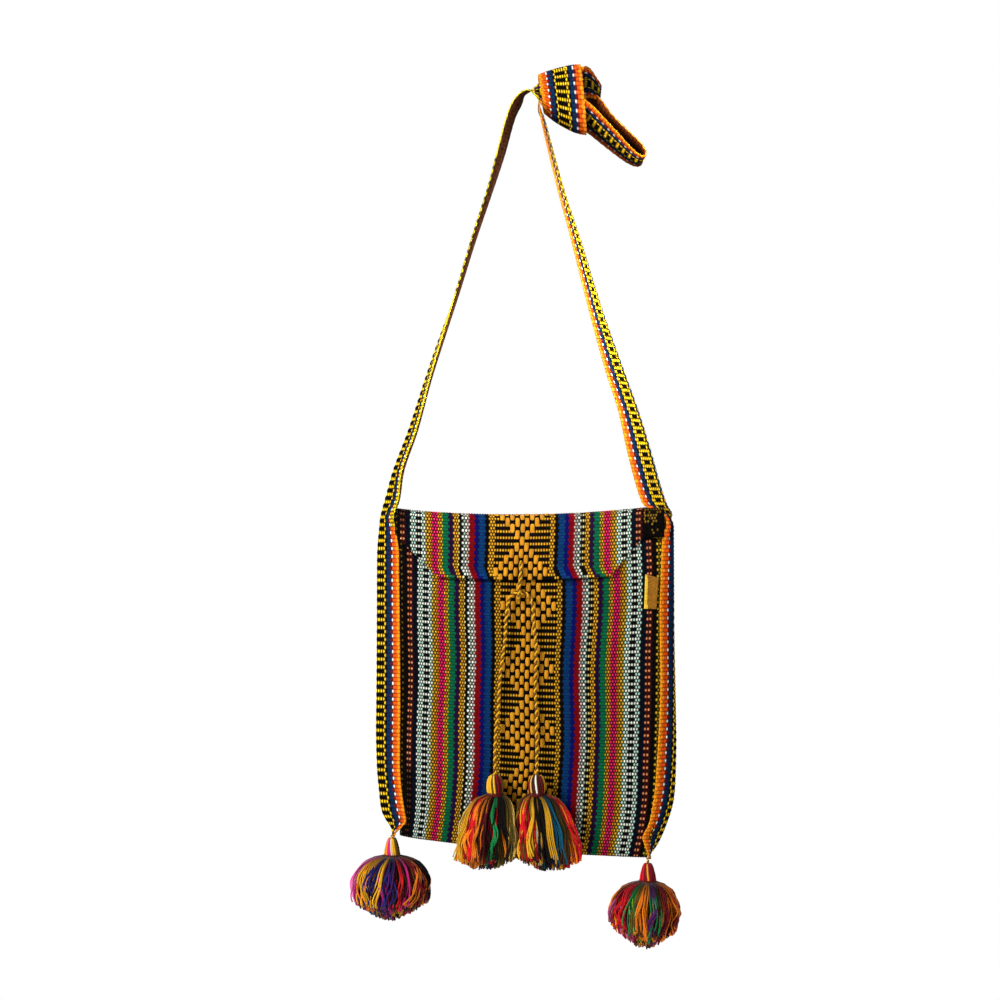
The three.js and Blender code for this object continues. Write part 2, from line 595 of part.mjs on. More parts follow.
// Tassels
function tassel(form) {
  const head = [new THREE.Vector2(0, 0)];
  for (const { out, down } of HEAD_PROFILE) {
    head.push(new THREE.Vector2(out * form.headRadius, -down * form.headHeight));
  }
  head.push(new THREE.Vector2(0, -1.1 * form.headHeight));
  const profile = SKIRT_PROFILES[form.shape];
  const neck = -form.headHeight;
  const core = [new THREE.Vector2(0, neck + 2)];
  for (const { out, down } of profile) {
    core.push(new THREE.Vector2(out * form.skirtRadius, neck - down * form.skirtHeight * CORE_SHARE));
  }
  core.push(new THREE.Vector2(0, neck - form.skirtHeight * CORE_SHARE));
  const turned = (points) => new THREE.LatheGeometry(points.toReversed(), TASSEL_SIDES).rotateX(Math.PI / 2);
  // The skirt leans to the side and forward and is flattened from front to back.
  const hang = (p) => {
    const down = THREE.MathUtils.clamp((neck - p.z) / form.skirtHeight, 0, 1);
    const aside = form.sideways * Math.sqrt(down);
    return new THREE.Vector3(p.x + aside, p.y * form.flat - form.forward * down, p.z);
  };
  const coreShape = turned(core);
  const corners = coreShape.getAttribute('position');
  for (let i = 0; i < corners.count; i += 1) {
    const moved = hang(new THREE.Vector3().fromBufferAttribute(corners, i));
    corners.setXYZ(i, moved.x, moved.y, moved.z);
  }
  let made = solid(turned(head)).add(solid(coreShape));
  for (let k = 0; k < LOCKS; k += 1) {
    const angle = (2 * Math.PI * (k + form.turn)) / LOCKS;
    const longer = 1 + LOCK_UNEVEN * Math.sin(2.4 * k + 5 * form.turn);
    const route = Array.from({ length: LOCK_STEPS }, (_, i) => {
      const { out, down } = profile[i];
      const r = out * form.skirtRadius;
      return hang(
        new THREE.Vector3(r * Math.cos(angle), r * Math.sin(angle), neck - down * longer * form.skirtHeight),
      );
    });
    const radii = profile.map(({ thick }) => thick * form.skirtRadius * (0.6 + 0.4 * form.flat));
    made = made.add(solid(bar(route, radii, LOCK_SIDES)));
  }
  if (form.hanger > 0) {
    const thread = new THREE.CylinderGeometry(HANGER_DIAMETER / 2, HANGER_DIAMETER / 2, form.hanger + 2, 8);
    made = made.add(solid(thread.rotateX(Math.PI / 2).translate(0, 0, form.hanger / 2 - 1)));
  }
  return shapeOf(made).translate(form.x, form.y, form.z);
}
for (const form of TASSELS) add(form.name, tassel(form), 0xb04070);

// Label
const labelPlace = panelPoint(LABEL_ACROSS, LABEL_DOWN, -1);
const label = new THREE.BoxGeometry(LABEL_WIDTH, LABEL_THICK, LABEL_HEIGHT)
  .rotateY(THREE.MathUtils.degToRad(LABEL_LEAN_DEGREES))
  .rotateZ(THREE.MathUtils.degToRad(LABEL_TURN_DEGREES))
  .translate(labelPlace.x, labelPlace.y - (CLOTH_THICK + LABEL_THICK) / 2 - LABEL_STAND_OFF, labelPlace.z);
add('label_tab', label, 0xe8b040);

export default bag;
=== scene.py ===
import math

import bpy
import numpy as np
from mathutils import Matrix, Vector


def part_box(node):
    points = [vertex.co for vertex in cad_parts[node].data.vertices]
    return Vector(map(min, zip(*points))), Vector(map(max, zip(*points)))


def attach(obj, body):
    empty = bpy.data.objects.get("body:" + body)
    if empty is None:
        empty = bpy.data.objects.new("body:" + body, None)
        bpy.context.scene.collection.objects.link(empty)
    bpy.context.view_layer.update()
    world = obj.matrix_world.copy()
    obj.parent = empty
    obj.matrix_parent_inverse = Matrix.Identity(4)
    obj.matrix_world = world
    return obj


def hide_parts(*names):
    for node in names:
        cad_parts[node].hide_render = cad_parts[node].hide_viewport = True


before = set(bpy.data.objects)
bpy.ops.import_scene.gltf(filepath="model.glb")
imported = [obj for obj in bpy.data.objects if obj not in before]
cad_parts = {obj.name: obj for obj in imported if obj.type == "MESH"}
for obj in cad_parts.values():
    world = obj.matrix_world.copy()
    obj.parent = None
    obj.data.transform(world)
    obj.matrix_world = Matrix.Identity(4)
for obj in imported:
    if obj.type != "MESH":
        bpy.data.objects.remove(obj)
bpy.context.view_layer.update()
bpy.ops.object.select_all(action="DESELECT")

# Viewpoint: straight on to the front of the hanging bag, a little left of the hanging point,
# with the picture's width spanning 0.82 m where the bag hangs.
PICTURE_WIDTH = 0.82
VIEW_CENTRE = (-0.0238, -0.3346)
VIEW_DISTANCE = 1.5
SENSOR_WIDTH = 36.0
bpy.ops.object.camera_add(
    location=(VIEW_CENTRE[0], -VIEW_DISTANCE, VIEW_CENTRE[1]),
    rotation=(math.pi / 2, 0, 0),
)
camera = bpy.context.active_object
camera.data.sensor_width = SENSOR_WIDTH
camera.data.lens = SENSOR_WIDTH * VIEW_DISTANCE / PICTURE_WIDTH
bpy.context.scene.camera = camera
bpy.context.scene.view_settings.view_transform = "Standard"


# Tie cord: one cord of two gold cotton plies twisted together, hung by its middle in the loop
# of the flap. Its two ends hang down the front, each through the head of a tassel into its skirt.
MM = 0.001
TIE_CORD_DIAMETER = 0.0028
TIE_CORD_TWIST = 0.0060
TIE_CORD_LEFT = (
    (-0.0084, -0.0158, -0.4099),
    (-0.0148, -0.0157, -0.4122),
    (-0.0176, -0.0154, -0.4200),
    (-0.0189, -0.0158, -0.4320),
    (-0.0196, -0.0160, -0.4460),
    (-0.0213, -0.0160, -0.4600),
    (-0.0232, -0.0160, -0.4730),
    (-0.0244, -0.0160, -0.4900),
    (-0.0252, -0.0162, -0.5060),
    (-0.0268, -0.0172, -0.5190),
    (-0.0277, -0.0182, -0.5320),
    (-0.0279, -0.0194, -0.5450),
    (-0.0279, -0.0204, -0.5570),
    (-0.0284, -0.0208, -0.5690),
    (-0.0302, -0.0214, -0.5810),
    (-0.0326, -0.0222, -0.5940),
    (-0.0342, -0.0228, -0.6060),
)
TIE_CORD_RIGHT = (
    (-0.0084, -0.0158, -0.4099),
    (-0.0022, -0.0157, -0.4108),
    (0.0016, -0.0155, -0.4160),
    (0.0032, -0.0156, -0.4250),
    (0.0040, -0.0158, -0.4380),
    (0.0054, -0.0160, -0.4530),
    (0.0052, -0.0160, -0.4700),
    (0.0048, -0.0160, -0.4880),
    (0.0058, -0.0162, -0.5060),
    (0.0056, -0.0172, -0.5200),
    (0.0062, -0.0182, -0.5340),
    (0.0058, -0.0194, -0.5460),
    (0.0059, -0.0204, -0.5570),
    (0.0065, -0.0208, -0.5690),
    (0.0086, -0.0214, -0.5810),
    (0.0112, -0.0222, -0.5940),
    (0.0130, -0.0228, -0.6060),
)
# The plies are pressed together, so each is a little thicker than half of the cord. Each of their turns
# is drawn with so many points
PLY_PRESS = 1.06
TURN_POINTS = 10


def follow(order, values, at):
    """Smooth values between the rows of a table, for any number of columns."""
    order = np.asarray(order, float)
    values = np.asarray(values, float)
    at = np.atleast_1d(np.asarray(at, float))
    row = np.clip(np.searchsorted(order, at, side="right") - 1, 0, len(order) - 2)
    before = np.maximum(row - 1, 0)
    after = np.minimum(row + 2, len(order) - 1)
    lift = (-1,) + (1,) * (values.ndim - 1)
    span = order[row + 1] - order[row]
    t = np.clip((at - order[row]) / span, 0, 1).reshape(lift)
    start = (values[row + 1] - values[before]) * (span / (order[row + 1] - order[before])).reshape(lift)
    end = (values[after] - values[row]) * (span / (order[after] - order[row])).reshape(lift)
    return (
        values[row] * (2 * t**3 - 3 * t**2 + 1)
        + start * (t**3 - 2 * t**2 + t)
        + values[row + 1] * (3 * t**2 - 2 * t**3)
        + end * (t**3 - t**2)
    )


def run_length(points):
    """Length along a line of points, at each of them."""
    steps = np.linalg.norm(np.diff(points, axis=0), axis=-1)
    return np.concatenate([[0.0], np.cumsum(steps)])


def smooth_line(points, step, fine=40):
    """Evenly spaced points on the smooth line through the given ones, measured along a finer line."""
    points = np.asarray(points, float)
    order = run_length(points)
    dense = follow(order, points, np.linspace(0, order[-1], fine * len(points)))
    along = run_length(dense)
    places = np.linspace(0, along[-1], max(2, round(along[-1] / step)) + 1)
    return np.stack([np.interp(places, along, dense[:, k]) for k in range(3)], axis=1)


def frames_along(lines, reference):
    """Two directions square to each line at each of its points, the second near the reference."""
    tangent = np.gradient(lines, axis=-2)
    tangent /= np.linalg.norm(tangent, axis=-1, keepdims=True)
    first = np.cross(tangent, reference)
    first /= np.linalg.norm(first, axis=-1, keepdims=True)
    return first, np.cross(tangent, first)


def corner_points(mesh):
    """The point at each corner of the faces of a mesh."""
    corners = np.empty(len(mesh.loops), int)
    mesh.loops.foreach_get("vertex_index", corners)
    return corners


def paint_corners(mesh, colours):
    """Gives each corner the colour of its thread."""
    layer = mesh.color_attributes.new("thread_colour", "FLOAT_COLOR", "CORNER")
    layer.data.foreach_set("color", colours.ravel())


def map_corners(mesh, name, places):
    """Gives each corner its place in a UV map."""
    mesh.uv_layers.new(name=name).data.foreach_set("uv", places.ravel())


def yarn_tubes(name, lines, radius, colours, reference, sides=6, painted_light_along=1.0):
    """One mesh of round yarns, each closed at both ends, with its colour, which painted shade and light may
    darken or lighten along it, and a UV map round and along it."""
    lines = np.asarray(lines, float)
    count, length = lines.shape[:2]
    first, second = frames_along(lines, np.asarray(reference, float))
    angle = 2 * np.pi * np.arange(sides) / sides
    points = lines[:, :, None] + radius * (
        np.cos(angle)[:, None] * first[:, :, None] + np.sin(angle)[:, None] * second[:, :, None]
    )
    ring = np.arange(sides)
    beside = (ring + 1) % sides
    quads, caps = [], []
    for base in np.arange(count) * length * sides:
        rows = base + np.arange(length - 1)[:, None] * sides
        quads.append(np.stack([rows + ring, rows + beside, rows + sides + beside, rows + sides + ring], -1))
        caps.append((base + ring[::-1]).tolist())
        caps.append((base + (length - 1) * sides + ring).tolist())
    quads = np.concatenate(quads).reshape(-1, 4)
    mesh = bpy.data.meshes.new(name)
    mesh.from_pydata(points.reshape(-1, 3), [], quads.tolist() + caps)
    corners = corner_points(mesh)
    tone = np.asarray(colours)[corners // (length * sides)]
    tone[:, :3] *= np.broadcast_to(painted_light_along, length)[corners // sides % length, None]
    paint_corners(mesh, tone)
    turn = (corners % sides) / sides
    # The last side round a yarn ends at a full turn, so that the map doesn't run back across it
    round_side = turn[: quads.size].reshape(-1, 4)
    round_side[:, 1:3] = (round_side[:, [0]] * sides + 1) / sides
    along = np.concatenate([run_length(line) for line in lines])
    map_corners(mesh, "yarn", np.stack([turn, along[corners // sides] / MM], -1))
    piece = bpy.data.objects.new(name, mesh)
    bpy.context.collection.objects.link(piece)
    mesh.shade_smooth()
    return piece


def linear(hex_colour, alpha=1.0):
    """Linear colour of an sRGB hex value."""
    parts = [int(hex_colour[i : i + 2], 16) / 255 for i in (1, 3, 5)]
    return tuple(p / 12.92 if p <= 0.04045 else ((p + 0.055) / 1.055) ** 2.4 for p in parts) + (alpha,)


def two_ply(name, line, diameter, twist, reference):
    """A cord of two gold plies turned round each other along a line of points, the second ply painted darker
    as the shade in the twist.
    """
    first, second = frames_along(line, np.asarray(reference, float))
    angle = 2 * np.pi * run_length(line) / twist
    plies = [
        line + diameter / 4 * (np.cos(angle + half)[:, None] * first + np.sin(angle + half)[:, None] * second)
        for half in (0, np.pi)
    ]
    return yarn_tubes(name, np.array(plies), diameter / 4 * PLY_PRESS, GOLD_PLIES_LIT_AND_SHADED, reference, sides=8)


def node(material, kind, inputs=None, **settings):
    """Adds one node with its settings, its values and the links into it."""
    made = material.node_tree.nodes.new(kind)
    for name, value in settings.items():
        setattr(made, name, value)
    for name, value in (inputs or {}).items():
        if isinstance(value, bpy.types.NodeSocket):
            material.node_tree.links.new(value, made.inputs[name])
        else:
            made.inputs[name].default_value = value
    return made


def surface(name, settings):
    """A new material, with what is the same all over it set on its shader."""
    material = bpy.data.materials.new(name)
    material.use_nodes = True
    for socket, value in settings.items():
        material.node_tree.nodes["Principled BSDF"].inputs[socket].default_value = value
    return material


def fibre_noise(material, place, scale, turn, size, detail):
    """Noise that is drawn out along the fibres and slants with them."""
    drawn_out = {"Vector": place, "Scale": scale, "Rotation": (0, 0, turn)}
    slant = node(material, "ShaderNodeMapping", drawn_out)
    fine = {"Vector": slant.outputs["Vector"], "Scale": size, "Detail": detail}
    return node(material, "ShaderNodeTexNoise", fine).outputs["Fac"]


def shades(material, fibres, dark, light):
    """How light the fibres are, from the dark ones to the light ones."""
    ends = {"From Min": 0.3, "From Max": 0.7, "To Min": dark, "To Max": light}
    return node(material, "ShaderNodeMapRange", {"Value": fibres, **ends}).outputs["Result"]


def link_shader(material, colour, height, strength, distance):
    """Links a pattern's colour and its relief into the shader."""
    relief = {"Height": height, "Strength": strength, "Distance": distance}
    bump = node(material, "ShaderNodeBump", relief)
    shader = material.node_tree.nodes["Principled BSDF"]
    material.node_tree.links.new(colour, shader.inputs["Base Color"])
    material.node_tree.links.new(bump.outputs["Normal"], shader.inputs["Normal"])


def spun_yarn(name, roughness, sheen, fibre_mm):
    """Spun cotton or acrylic yarn: matt, a little fuzzy at the edges, with streaks where its fibres turn."""
    fuzz = {"Sheen Weight": sheen, "Sheen Roughness": 0.4}
    material = surface(name, {"Roughness": roughness, "Specular IOR Level": 0.08, **fuzz})
    colour = node(material, "ShaderNodeAttribute", attribute_name="thread_colour")
    where = node(material, "ShaderNodeUVMap", uv_map="yarn")
    # Six streaks round the yarn, as long as its fibres show, slanting with the twist
    fibres = fibre_noise(material, where.outputs["UV"], (6.0, 1 / fibre_mm, 1.0), 0.5, 1.6, 3.0)
    streaked = {0: colour.outputs["Color"], "Scale": shades(material, fibres, 0.62, 1.12)}
    shaded = node(material, "ShaderNodeVectorMath", streaked, operation="SCALE")
    link_shader(material, shaded.outputs["Vector"], fibres, 0.5, 0.0004)
    return material


# Both plies are the same gold yarn. The second is painted darker as the shade between the turns of the twist
GOLD_PLIES_LIT_AND_SHADED = (linear("#DCA41C"), linear("#6E440C"))
cord_yarn = spun_yarn("mercerised cotton cord, two-ply twist", roughness=0.6, sheen=0.1, fibre_mm=1.6)
for side, route in (("left", TIE_CORD_LEFT), ("right", TIE_CORD_RIGHT)):
    line = smooth_line(route, TIE_CORD_TWIST / TURN_POINTS)
    piece = two_ply(f"tie_cord_{side}", line, TIE_CORD_DIAMETER, TIE_CORD_TWIST, (0, 1, 0))
    piece.data.materials.append(cord_yarn)
    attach(piece, "root")
    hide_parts("tie_cord")


# Flap loop: a short length of the same gold cord, thinner, sewn to the face and to the lower edge
# of the flap, so that it makes a loop for the tie cord to hang in.
FLAP_LOOP_DIAMETER = 0.0025
FLAP_LOOP_TWIST = 0.0052
FLAP_LOOP = (
    (-0.0066, -0.0148, -0.3840),
    (-0.0069, -0.0152, -0.3910),
    (-0.0076, -0.0174, -0.4000),
    (-0.0082, -0.0196, -0.4075),
    (-0.0085, -0.0186, -0.4126),
    (-0.0085, -0.0154, -0.4142),
    (-0.0084, -0.0126, -0.4122),
    (-0.0080, -0.0120, -0.4065),
    (-0.0074, -0.0120, -0.4002),
)
line = smooth_line(FLAP_LOOP, FLAP_LOOP_TWIST / TURN_POINTS)
flap_loop = two_ply("flap_loop_cord", line, FLAP_LOOP_DIAMETER, FLAP_LOOP_TWIST, (1, 0, 0))
flap_loop.data.materials.append(cord_yarn)
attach(flap_loop, "root")
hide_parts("flap_loop")


# Body cloth: one length of warp-faced wool and cotton cloth in coloured stripes, folded at the bottom
# into front and back and over the top into the flap, whose lower corners are turned under.
# The threads that run up the bag show as rows of grains, every second thread up at each pick.
HALF_CLOTH = 106.0
PICK_MM = 2.52
# Relief of the weave, and how high a thread is where it is up at a pick, under it, and between picks
RELIEF_MM = 0.34
UP, UNDER, BETWEEN = 1.0, -0.8, -0.4
GRAIN_TALL = 0.8
CLOTH_MM = 0.9
TOP_LEFT, TOP_RIGHT, TOP_SAG = -341.8, -339.8, 6.0
BOTTOM_LEFT, BOTTOM_RIGHT, BOTTOM_SAG = -609.0, -627.3, 3.2
FOLD_RISE = 6.0
MOUTH = 0.053
FLAP_STAND_OFF = 2.6
FLAP_DROP = 46.7
HEM_THICK, HEM_STARTS = 0.9, (FLAP_DROP - 9, FLAP_DROP - 6)
# Down the bag from the mouth to the bottom fold: side seams, half the depth, and how far the stripes
# drift sideways at the left and at the right
BAG_DOWN = (0.0, 0.25, 0.55, 0.8, 0.93, 1.0)
BAG_LEFT = (-107.6, -106.4, -105.6, -106.2, -105.6, -106.0)
BAG_RIGHT = (108.5, 109.0, 108.5, 106.5, 102.0, 97.5)
DEPTH_LEFT = (7.0, 6.6, 5.6, 4.6, 3.6, 2.6)
DEPTH_MIDDLE = (8.0, 10.0, 12.0, 10.5, 7.0, 4.0)
DEPTH_RIGHT = (8.5, 9.5, 9.5, 8.0, 5.0, 2.8)
FRONT_DRIFT = ((0.4, -1.0, -3.0, -3.0, -4.5, -7.0), (-1.5, -2.0, -3.6, -4.0, -2.5, 0.0))
BACK_DRIFT = ((-8.0, -6.0, -4.0, -4.0, -5.0, -7.0), (-8.0, -6.0, -4.0, -4.0, -2.5, 0.0))
# Across the flap: places in the flat cloth and where they lie, shifted to the left
FLAP_ACROSS = (-106.0, -98.0, 98.0, 102.0, 106.0)
FLAP_LIES = (-109.6, -104.4, 91.2, 99.0, 110.5)
# The stripes from the middle to the side: width, threads, and their colour or the two that take turns
CLOTH_STRIPES = (
    ("brocade field", 22.3, 20, "black", "gold"),
    ("gold border", 4.5, 4, "gold"),
    ("black line", 2.8, 3, "black"),
    ("blue", 5.2, 5, "blue"),
    ("navy", 3.4, 3, "navy"),
    ("red", 4.2, 4, "red"),
    ("rose", 1.9, 2, "rose"),
    ("white", 4.1, 3, "silver", "white"),
    ("black line", 1.2, 1, "black"),
    ("cream dots", 1.6, 2, "cream", "black"),
    ("gold", 4.1, 4, "gold"),
    ("purple", 3.7, 3, "purple"),
    ("green", 4.4, 4, "green"),
    ("lime", 1.2, 1, "lime"),
    ("orange", 2.9, 3, "orange", "gold"),
    ("magenta", 4.8, 4, "magenta"),
    ("orange", 1.6, 2, "orange"),
    ("gold", 2.5, 2, "gold"),
    ("straw", 1.6, 1, "straw"),
    ("mint", 3.3, 3, "mint", "white"),
    ("mint ladder", 4.5, 4, "black", "white"),
    ("mint", 4.1, 4, "mint", "white"),
    ("night", 3.9, 4, "night"),
    ("peach dashes", 4.5, 4, "maroon", "peach"),
    ("black", 3.2, 3, "black"),
    ("gold edge", 4.5, 4, "edge gold", "old gold"),
)
YARN_COLOURS = {
    "black": "#080505",
    "gold": "#CC9420",
    "edge gold": "#B09022",
    "old gold": "#705610",
    "blue": "#072C56",
    "navy": "#08084A",
    "red": "#66040A",
    "rose": "#C4A49A",
    "white": "#DCE2D2",
    "silver": "#8E9E8E",
    "cream": "#DCC87E",
    "purple": "#1C082A",
    "green": "#065636",
    "lime": "#8E9A24",
    "straw": "#B89C34",
    "orange": "#C46E18",
    "magenta": "#D6225F",
    "mint": "#A6CCBA",
    "night": "#060A14",
    "maroon": "#300A0A",
    "peach": "#CC7A50",
    "dull gold": "#5A4210",
    "offcut gold": "#86661C",
    "offcut edge": "#6A4C16",
}
# How dark the painted shade in the gaps between the grains is. Where the value is negative the threads are
# beaten so close that they leave no gaps between them, and only the ribs of the picks show, with painted
# shade between them
GAP_SHADES = {
    "black": 0.6,
    "night": 0.6,
    "maroon": 0.5,
    "blue": -0.55,
    "navy": -0.7,
    "red": -0.6,
    "purple": -0.6,
    "green": -0.4,
}
OPEN_GAP_SHADE = 0.05
# Floats of the gold lozenges: in each row of the figure, and their spacing and size
LOZENGE_ROWS = (1, 2, 3, 4, 5, 6, 5, 4, 3, 2)
FLOAT_ACROSS = 4.0
FLOAT_WIDTH, FLOAT_LENGTH, FLOAT_HEIGHT = 3.8, 7.9, 0.85
# Two picks as long as this carry a float of full length
FLOAT_PICKS = 5.38
# The cloth's rows: down the flap, over the top fold, down the back, round the keel and up the front,
# with those where the flap ends on the crest and the back on the keel, and the points in each row
FLAP_ROWS, FOLD_ROWS, PANEL_ROWS, KEEL_ROWS = 40, 24, 90, 12
CREST = FLAP_ROWS + FOLD_ROWS // 2 - 1
KEEL = FLAP_ROWS + FOLD_ROWS + PANEL_ROWS + KEEL_ROWS // 2
CLOTH_COLUMNS = 97
# The cloth is soft: it lies in shallow waves that run mostly up and down, so deep and so far to the side
WAVE_DEPTH, WAVE_SWAY = 0.5, 0.7
# How unevenly the yarns are dyed, from thread to thread and from grain to grain
THREAD_UNEVEN, GRAIN_UNEVEN = 0.07, 0.08
draw = np.random.default_rng(7)


def lerp(a, b, t):
    return a + (b - a) * t


def top_edge(s):
    return lerp(TOP_LEFT, TOP_RIGHT, s) - TOP_SAG * 4 * s * (1 - s)


def bottom_edge(s):
    return lerp(BOTTOM_LEFT, BOTTOM_RIGHT, s) - BOTTOM_SAG * np.sin(np.pi * s)


def half_depth(s, down):
    left, middle, right = (follow(BAG_DOWN, d, down)[0] for d in (DEPTH_LEFT, DEPTH_MIDDLE, DEPTH_RIGHT))
    return left * (1 - s) * (1 - 2 * s) + middle * 4 * s * (1 - s) + right * s * (2 * s - 1)


def panel_row(s, down, facing, drift):
    """Points across the front (-1) or the back (1) of the bag. The stripes don't drift at the seams."""
    x = lerp(follow(BAG_DOWN, BAG_LEFT, down)[0], follow(BAG_DOWN, BAG_RIGHT, down)[0], s)
    left, right = (follow(BAG_DOWN, d, down)[0] for d in drift)
    x = x + lerp(left, right, s) * (1 - (2 * s - 1) ** 6)
    z = lerp(top_edge(s) - FOLD_RISE, bottom_edge(s) + half_depth(s, 1), down)
    return np.stack([x, facing * half_depth(s, down), z], -1)


def mouth_place(x):
    """How far across the mouth of the bag a place is, from its left seam to its right one."""
    return np.clip((x - BAG_LEFT[0]) / (BAG_RIGHT[0] - BAG_LEFT[0]), 0, 1)


def flap_row(s, drop):
    """Points across the flap, which is thicker along its hem."""
    x = np.interp((2 * s - 1) * HALF_CLOTH, FLAP_ACROSS, FLAP_LIES)
    place = mouth_place(x)
    depth = half_depth(place, drop / (TOP_LEFT - BOTTOM_LEFT))
    hem = HEM_THICK * np.interp(drop, HEM_STARTS, (0, 1))
    return np.stack([x, -depth - FLAP_STAND_OFF - hem, top_edge(place) - FOLD_RISE - drop], -1)


class Cloth:
    """A sheet in space, read by the place along it and across it in millimetres."""

    def __init__(self, points, across):
        self.points = points * MM
        self.along = run_length(points[:, points.shape[1] // 2])
        self.across = across
        normal = np.cross(np.gradient(points, axis=1), np.gradient(points, axis=0))
        self.normal = normal / np.linalg.norm(normal, axis=-1, keepdims=True)

    def at(self, along, across, height=0.0):
        """Points at a height over the sheet."""
        i = np.interp(along, self.along, np.arange(len(self.along)))
        j = np.interp(across, self.across, np.arange(len(self.across)))
        i0 = np.minimum(i.astype(int), len(self.along) - 2)
        j0 = np.minimum(j.astype(int), len(self.across) - 2)
        fi, fj = (i - i0)[..., None], (j - j0)[..., None]

        def read(grid):
            low = grid[i0, j0] * (1 - fj) + grid[i0, j0 + 1] * fj
            high = grid[i0 + 1, j0] * (1 - fj) + grid[i0 + 1, j0 + 1] * fj
            return low * (1 - fi) + high * fi

        return read(self.points) + read(self.normal) * np.asarray(height)[..., None] * MM


def weave(name, cloth, start, stop, pick, threads, colours):
    """A woven piece of a sheet: a grid with a line of points for each thread and two rows for each pick.
    colours(picks) gives each thread's colour at each pick, and how dark the painted shade in its gaps is as
    the fourth value.
    The grain map is 0 on the crown of each grain."""
    picks = max(2, round((stop - start) / pick))
    bpy.ops.mesh.primitive_grid_add(x_subdivisions=len(threads) - 1, y_subdivisions=2 * picks, size=1)
    piece = bpy.context.active_object
    piece.name = piece.data.name = name
    mesh = piece.data
    flat = np.empty(len(mesh.vertices) * 3)
    mesh.vertices.foreach_get("co", flat)
    flat = flat.reshape(-1, 3)
    thread = np.rint((flat[:, 0] + 0.5) * (len(threads) - 1)).astype(int)
    row = np.rint((flat[:, 1] + 0.5) * 2 * picks).astype(int)
    up = (thread + row // 2) % 2 == 0
    height = np.where(row % 2 == 1, np.where(up, UP, UNDER), BETWEEN)
    along = start + row * (stop - start) / (2 * picks)
    across = np.asarray(threads)[thread]
    mesh.vertices.foreach_set("co", cloth.at(along, across, height * RELIEF_MM).ravel())
    corners = corner_points(mesh)
    face = corners.reshape(-1, 4)
    face_thread = thread[face].min(axis=1)
    face_pick = row[face].min(axis=1) // 2
    shown = face_thread + (face_thread + face_pick) % 2
    shade = colours(picks)[face_pick, shown]
    gap = mesh.attributes.new("thread_gap_shade", "FLOAT", "CORNER")
    gap.data.foreach_set("value", np.repeat(abs(shade[:, 3]), 4))
    ribbed = shade[:, 3] < 0
    shade[:, 3] = 1
    paint_corners(mesh, np.repeat(shade, 4, axis=0))
    for old in list(mesh.uv_layers):
        mesh.uv_layers.remove(old)
    map_corners(mesh, "weave", np.stack([across[corners], along[corners]], -1))
    from_crown = np.stack([thread[face] - shown[:, None], row[face] - 2 * face_pick[:, None] - 1], -1)
    from_crown[ribbed, :, 0] = 0
    map_corners(mesh, "grain", from_crown * (1.0, GRAIN_TALL))
    bpy.ops.object.mode_set(mode="EDIT")
    bpy.ops.mesh.select_all(action="SELECT")
    bpy.ops.mesh.quads_convert_to_tris(quad_method="LONGEST_DIAGONAL")
    bpy.ops.object.mode_set(mode="OBJECT")
    mesh.shade_smooth()
    return piece


def choose(*pieces):
    """Selects these pieces alone, with the first one active."""
    bpy.ops.object.select_all(action="DESELECT")
    for piece in pieces:
        piece.select_set(True)
    bpy.context.view_layer.objects.active = pieces[0]


def thicken(piece, thick, reverse=0, rim=0):
    """Gives a sheet its thickness, half to each side, with other materials on its back and its edges."""
    choose(piece)
    bpy.ops.object.modifier_add(type="SOLIDIFY")
    wall = piece.modifiers[-1]
    wall.thickness = thick * MM
    wall.offset = 0
    wall.material_offset = reverse
    wall.material_offset_rim = rim
    bpy.ops.object.modifier_apply(modifier=wall.name)


def chart_threads(stripes):
    """Places of the threads across a cloth whose stripes are mirrored about its middle, and their stripes."""
    places, owners = [], []
    edge = 0.0
    for index, (_, width, count, *_) in enumerate(stripes):
        for k in range(count):
            places.append(edge + (k + 0.5) * width / count)
            owners.append(index)
        edge += width
    places, owners = np.array(places), np.array(owners)
    return np.concatenate([-places[::-1], places]), np.concatenate([owners[::-1], owners])


def yarn(name):
    return linear(YARN_COLOURS[name], GAP_SHADES.get(name, OPEN_GAP_SHADE))


def thread_chart(stripes, owners, picks, phase):
    """Colour of each thread at each pick, uneven from thread to thread and from grain to grain."""
    table = np.array([[yarn(row[3]), yarn(row[-1])] for row in stripes])
    odd = (np.arange(len(owners)) + phase) % 2
    chart = np.repeat(table[owners, odd][None], picks, axis=0)
    uneven = draw.normal(1, THREAD_UNEVEN, (1, len(owners), 1))
    uneven = uneven * draw.normal(1, GRAIN_UNEVEN, (picks, len(owners), 1))
    chart[..., :3] *= np.clip(uneven, 0.7, 1.3)
    return chart


